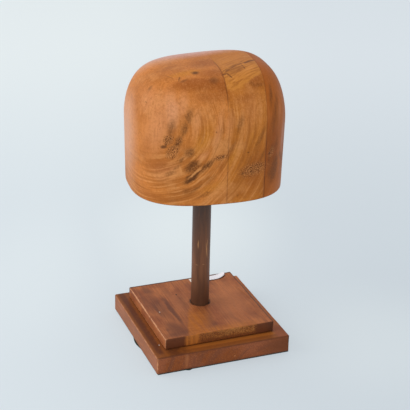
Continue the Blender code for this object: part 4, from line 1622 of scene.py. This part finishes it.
def make_screws():
    tree = wood_screw()
    finish = screw_metal()
    for node in screw_nodes():
        low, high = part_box(node)
        mesh = grow(tree, finish, length=high.z - low.z)
        slot_half = Vector((SCREW_HEAD_RADIUS + CUT_OVERSHOOT, SCREW_SLOT_WIDTH / 2, 0))
        slot_low = -slot_half + Vector((0, 0, -CUT_OVERSHOOT))
        slot_high = slot_half + Vector((0, 0, SCREW_SLOT_DEPTH))
        mesh = cut_away(mesh, [box_mesh("slot_cutter", slot_low, slot_high, finish)])
        mesh.transform(Matrix.Translation(box_foot(node)))
        sharpen(mesh, SCREW_SHARP_ANGLE)
        show(node.replace("plinth_screw", "wood_screw"), mesh, "plinth", "screw_steel", node)


def make_label():
    low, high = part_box("paper_label")
    width = high.y - low.y
    flat = LABEL_LENGTH - LABEL_PEEL_LENGTH
    plain = LABEL_LENGTH - LABEL_CORNER_LENGTH
    bm = bmesh.new()
    rows = []
    for i in range(LABEL_STEPS + 1):
        along = LABEL_LENGTH * i / LABEL_STEPS
        share = max(0.0, (along - plain) / LABEL_CORNER_LENGTH)
        draw_back = LABEL_CORNER_DEPTH * (1 - math.sqrt(max(0.0, 1 - share * share)))
        angle = max(0.0, along - flat) / LABEL_PEEL_RADIUS
        x = min(along, flat) + LABEL_PEEL_RADIUS * math.sin(angle)
        z = LABEL_PEEL_RADIUS * (1 - math.cos(angle))
        back = width - LABEL_BACK_DRAW * min(1.0, max(0.0, (LABEL_LENGTH - along) / LABEL_PEEL_LENGTH))
        row = []
        for j in range(LABEL_COLUMNS + 1):
            y = draw_back + (back - draw_back) * j / LABEL_COLUMNS
            row.append(bm.verts.new((low.x + x, low.y + y, low.z + z)))
        rows.append(row)
    for left, right in zip(rows, rows[1:]):
        for j in range(LABEL_COLUMNS):
            bm.faces.new((left[j], right[j], right[j + 1], left[j + 1]))
    mesh = bpy.data.meshes.new("label")
    bm.to_mesh(mesh)
    bm.free()
    mesh.materials.append(label_paper())
    mesh.shade_smooth()
    carrier = place_object("label", mesh)
    solid = carrier.modifiers.new("thickness", "SOLIDIFY")
    solid.thickness = LABEL_THICKNESS
    solid.offset = 1.0
    show("label_strip", take_mesh(carrier), "plinth", "label_paper", "paper_label")


def make_baize():
    low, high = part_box("baize_sheet")
    arris = (high - low).z * BAIZE_EDGE_SHARE
    edges = {"arris": arris, "corner": 0.0, "nibbling": BAIZE_NIBBLING}
    mesh = grow(bpy.data.node_groups["worn_board"], baize_cloth(), size=high - low, **edges)
    mesh.transform(Matrix.Translation(box_middle("baize_sheet")))
    for vert in mesh.vertices:
        co = vert.co
        near_left = max(0.0, 1 - (co.x - low.x) / BAIZE_TUCK_REACH)
        away = min(1.0, abs(co.y - BAIZE_BULGE_MIDDLE) / BAIZE_BULGE_HALF_LENGTH)
        co.x += (BAIZE_TUCK - (BAIZE_TUCK + BAIZE_BULGE) * (1 - away * away) ** 2) * near_left**2
        near_front = max(0.0, 1 - (co.y - low.y) / BAIZE_TUCK_REACH)
        beside = min(1.0, abs(co.x - BAIZE_SLIVER_MIDDLE) / BAIZE_SLIVER_HALF_LENGTH)
        co.y += BAIZE_TUCK * (1 - (1 - beside * beside) ** 2) * near_front**2
    cloth = show("baize_cloth", mesh, "plinth", "baize", "baize_sheet")


def make_floor():
    bm = bmesh.new()
    bmesh.ops.create_grid(bm, x_segments=1, y_segments=1, size=FLOOR_HALF_SIDE)
    floor = place_object("floor", mesh_from(bm, "floor", floor_paint(), smooth=False))


def make_camera():
    data = bpy.data.cameras.new("camera")
    data.sensor_width = SENSOR_WIDTH
    data.lens = FOCAL_PIXELS / PHOTO_PIXELS * SENSOR_WIDTH
    data.clip_end = VIEW_REACH
    flat = math.cos(VIEW_ELEVATION)
    back = Vector((math.sin(VIEW_AZIMUTH) * flat, -math.cos(VIEW_AZIMUTH) * flat, math.sin(VIEW_ELEVATION)))
    right = Vector((0, 0, 1)).cross(back).normalized()
    up = back.cross(right)
    rolled_right = right * math.cos(VIEW_ROLL) + up * math.sin(VIEW_ROLL)
    rolled_up = up * math.cos(VIEW_ROLL) - right * math.sin(VIEW_ROLL)
    camera = place_object("camera", data)
    turn = Matrix((rolled_right, rolled_up, back)).transposed().to_4x4()
    camera.matrix_world = Matrix.Translation(VIEW_TARGET + back * VIEW_DISTANCE) @ turn
    bpy.context.scene.camera = camera


def add_softbox(name, place, side, power, colour):
    data = bpy.data.lights.new(name, "AREA")
    data.shape = "SQUARE"
    data.size = side
    data.energy = power
    data.color = colour
    lamp = place_object(name, data)
    lamp.location = place
    lamp.rotation_euler = (LAMP_TARGET - Vector(place)).to_track_quat("-Z", "Y").to_euler()


def light_the_scene():
    world = bpy.data.worlds.new("studio")
    world.use_nodes = True
    tree = world.node_tree
    seen = wire_from(tree, "ShaderNodeLightPath", output="Is Camera Ray")
    feed(tree, tree.nodes["Background"].inputs["Color"], mix(seen, WORLD_LIGHT, WORLD_SEEN))
    bpy.context.scene.world = world
    for name, settings in SOFTBOXES.items():
        add_softbox(name, *settings)
    bpy.context.scene.view_settings.view_transform = "Standard"


make_camera()
make_block()
make_post()
make_boards()
make_screws()
make_label()
make_baize()
make_floor()
light_the_scene()
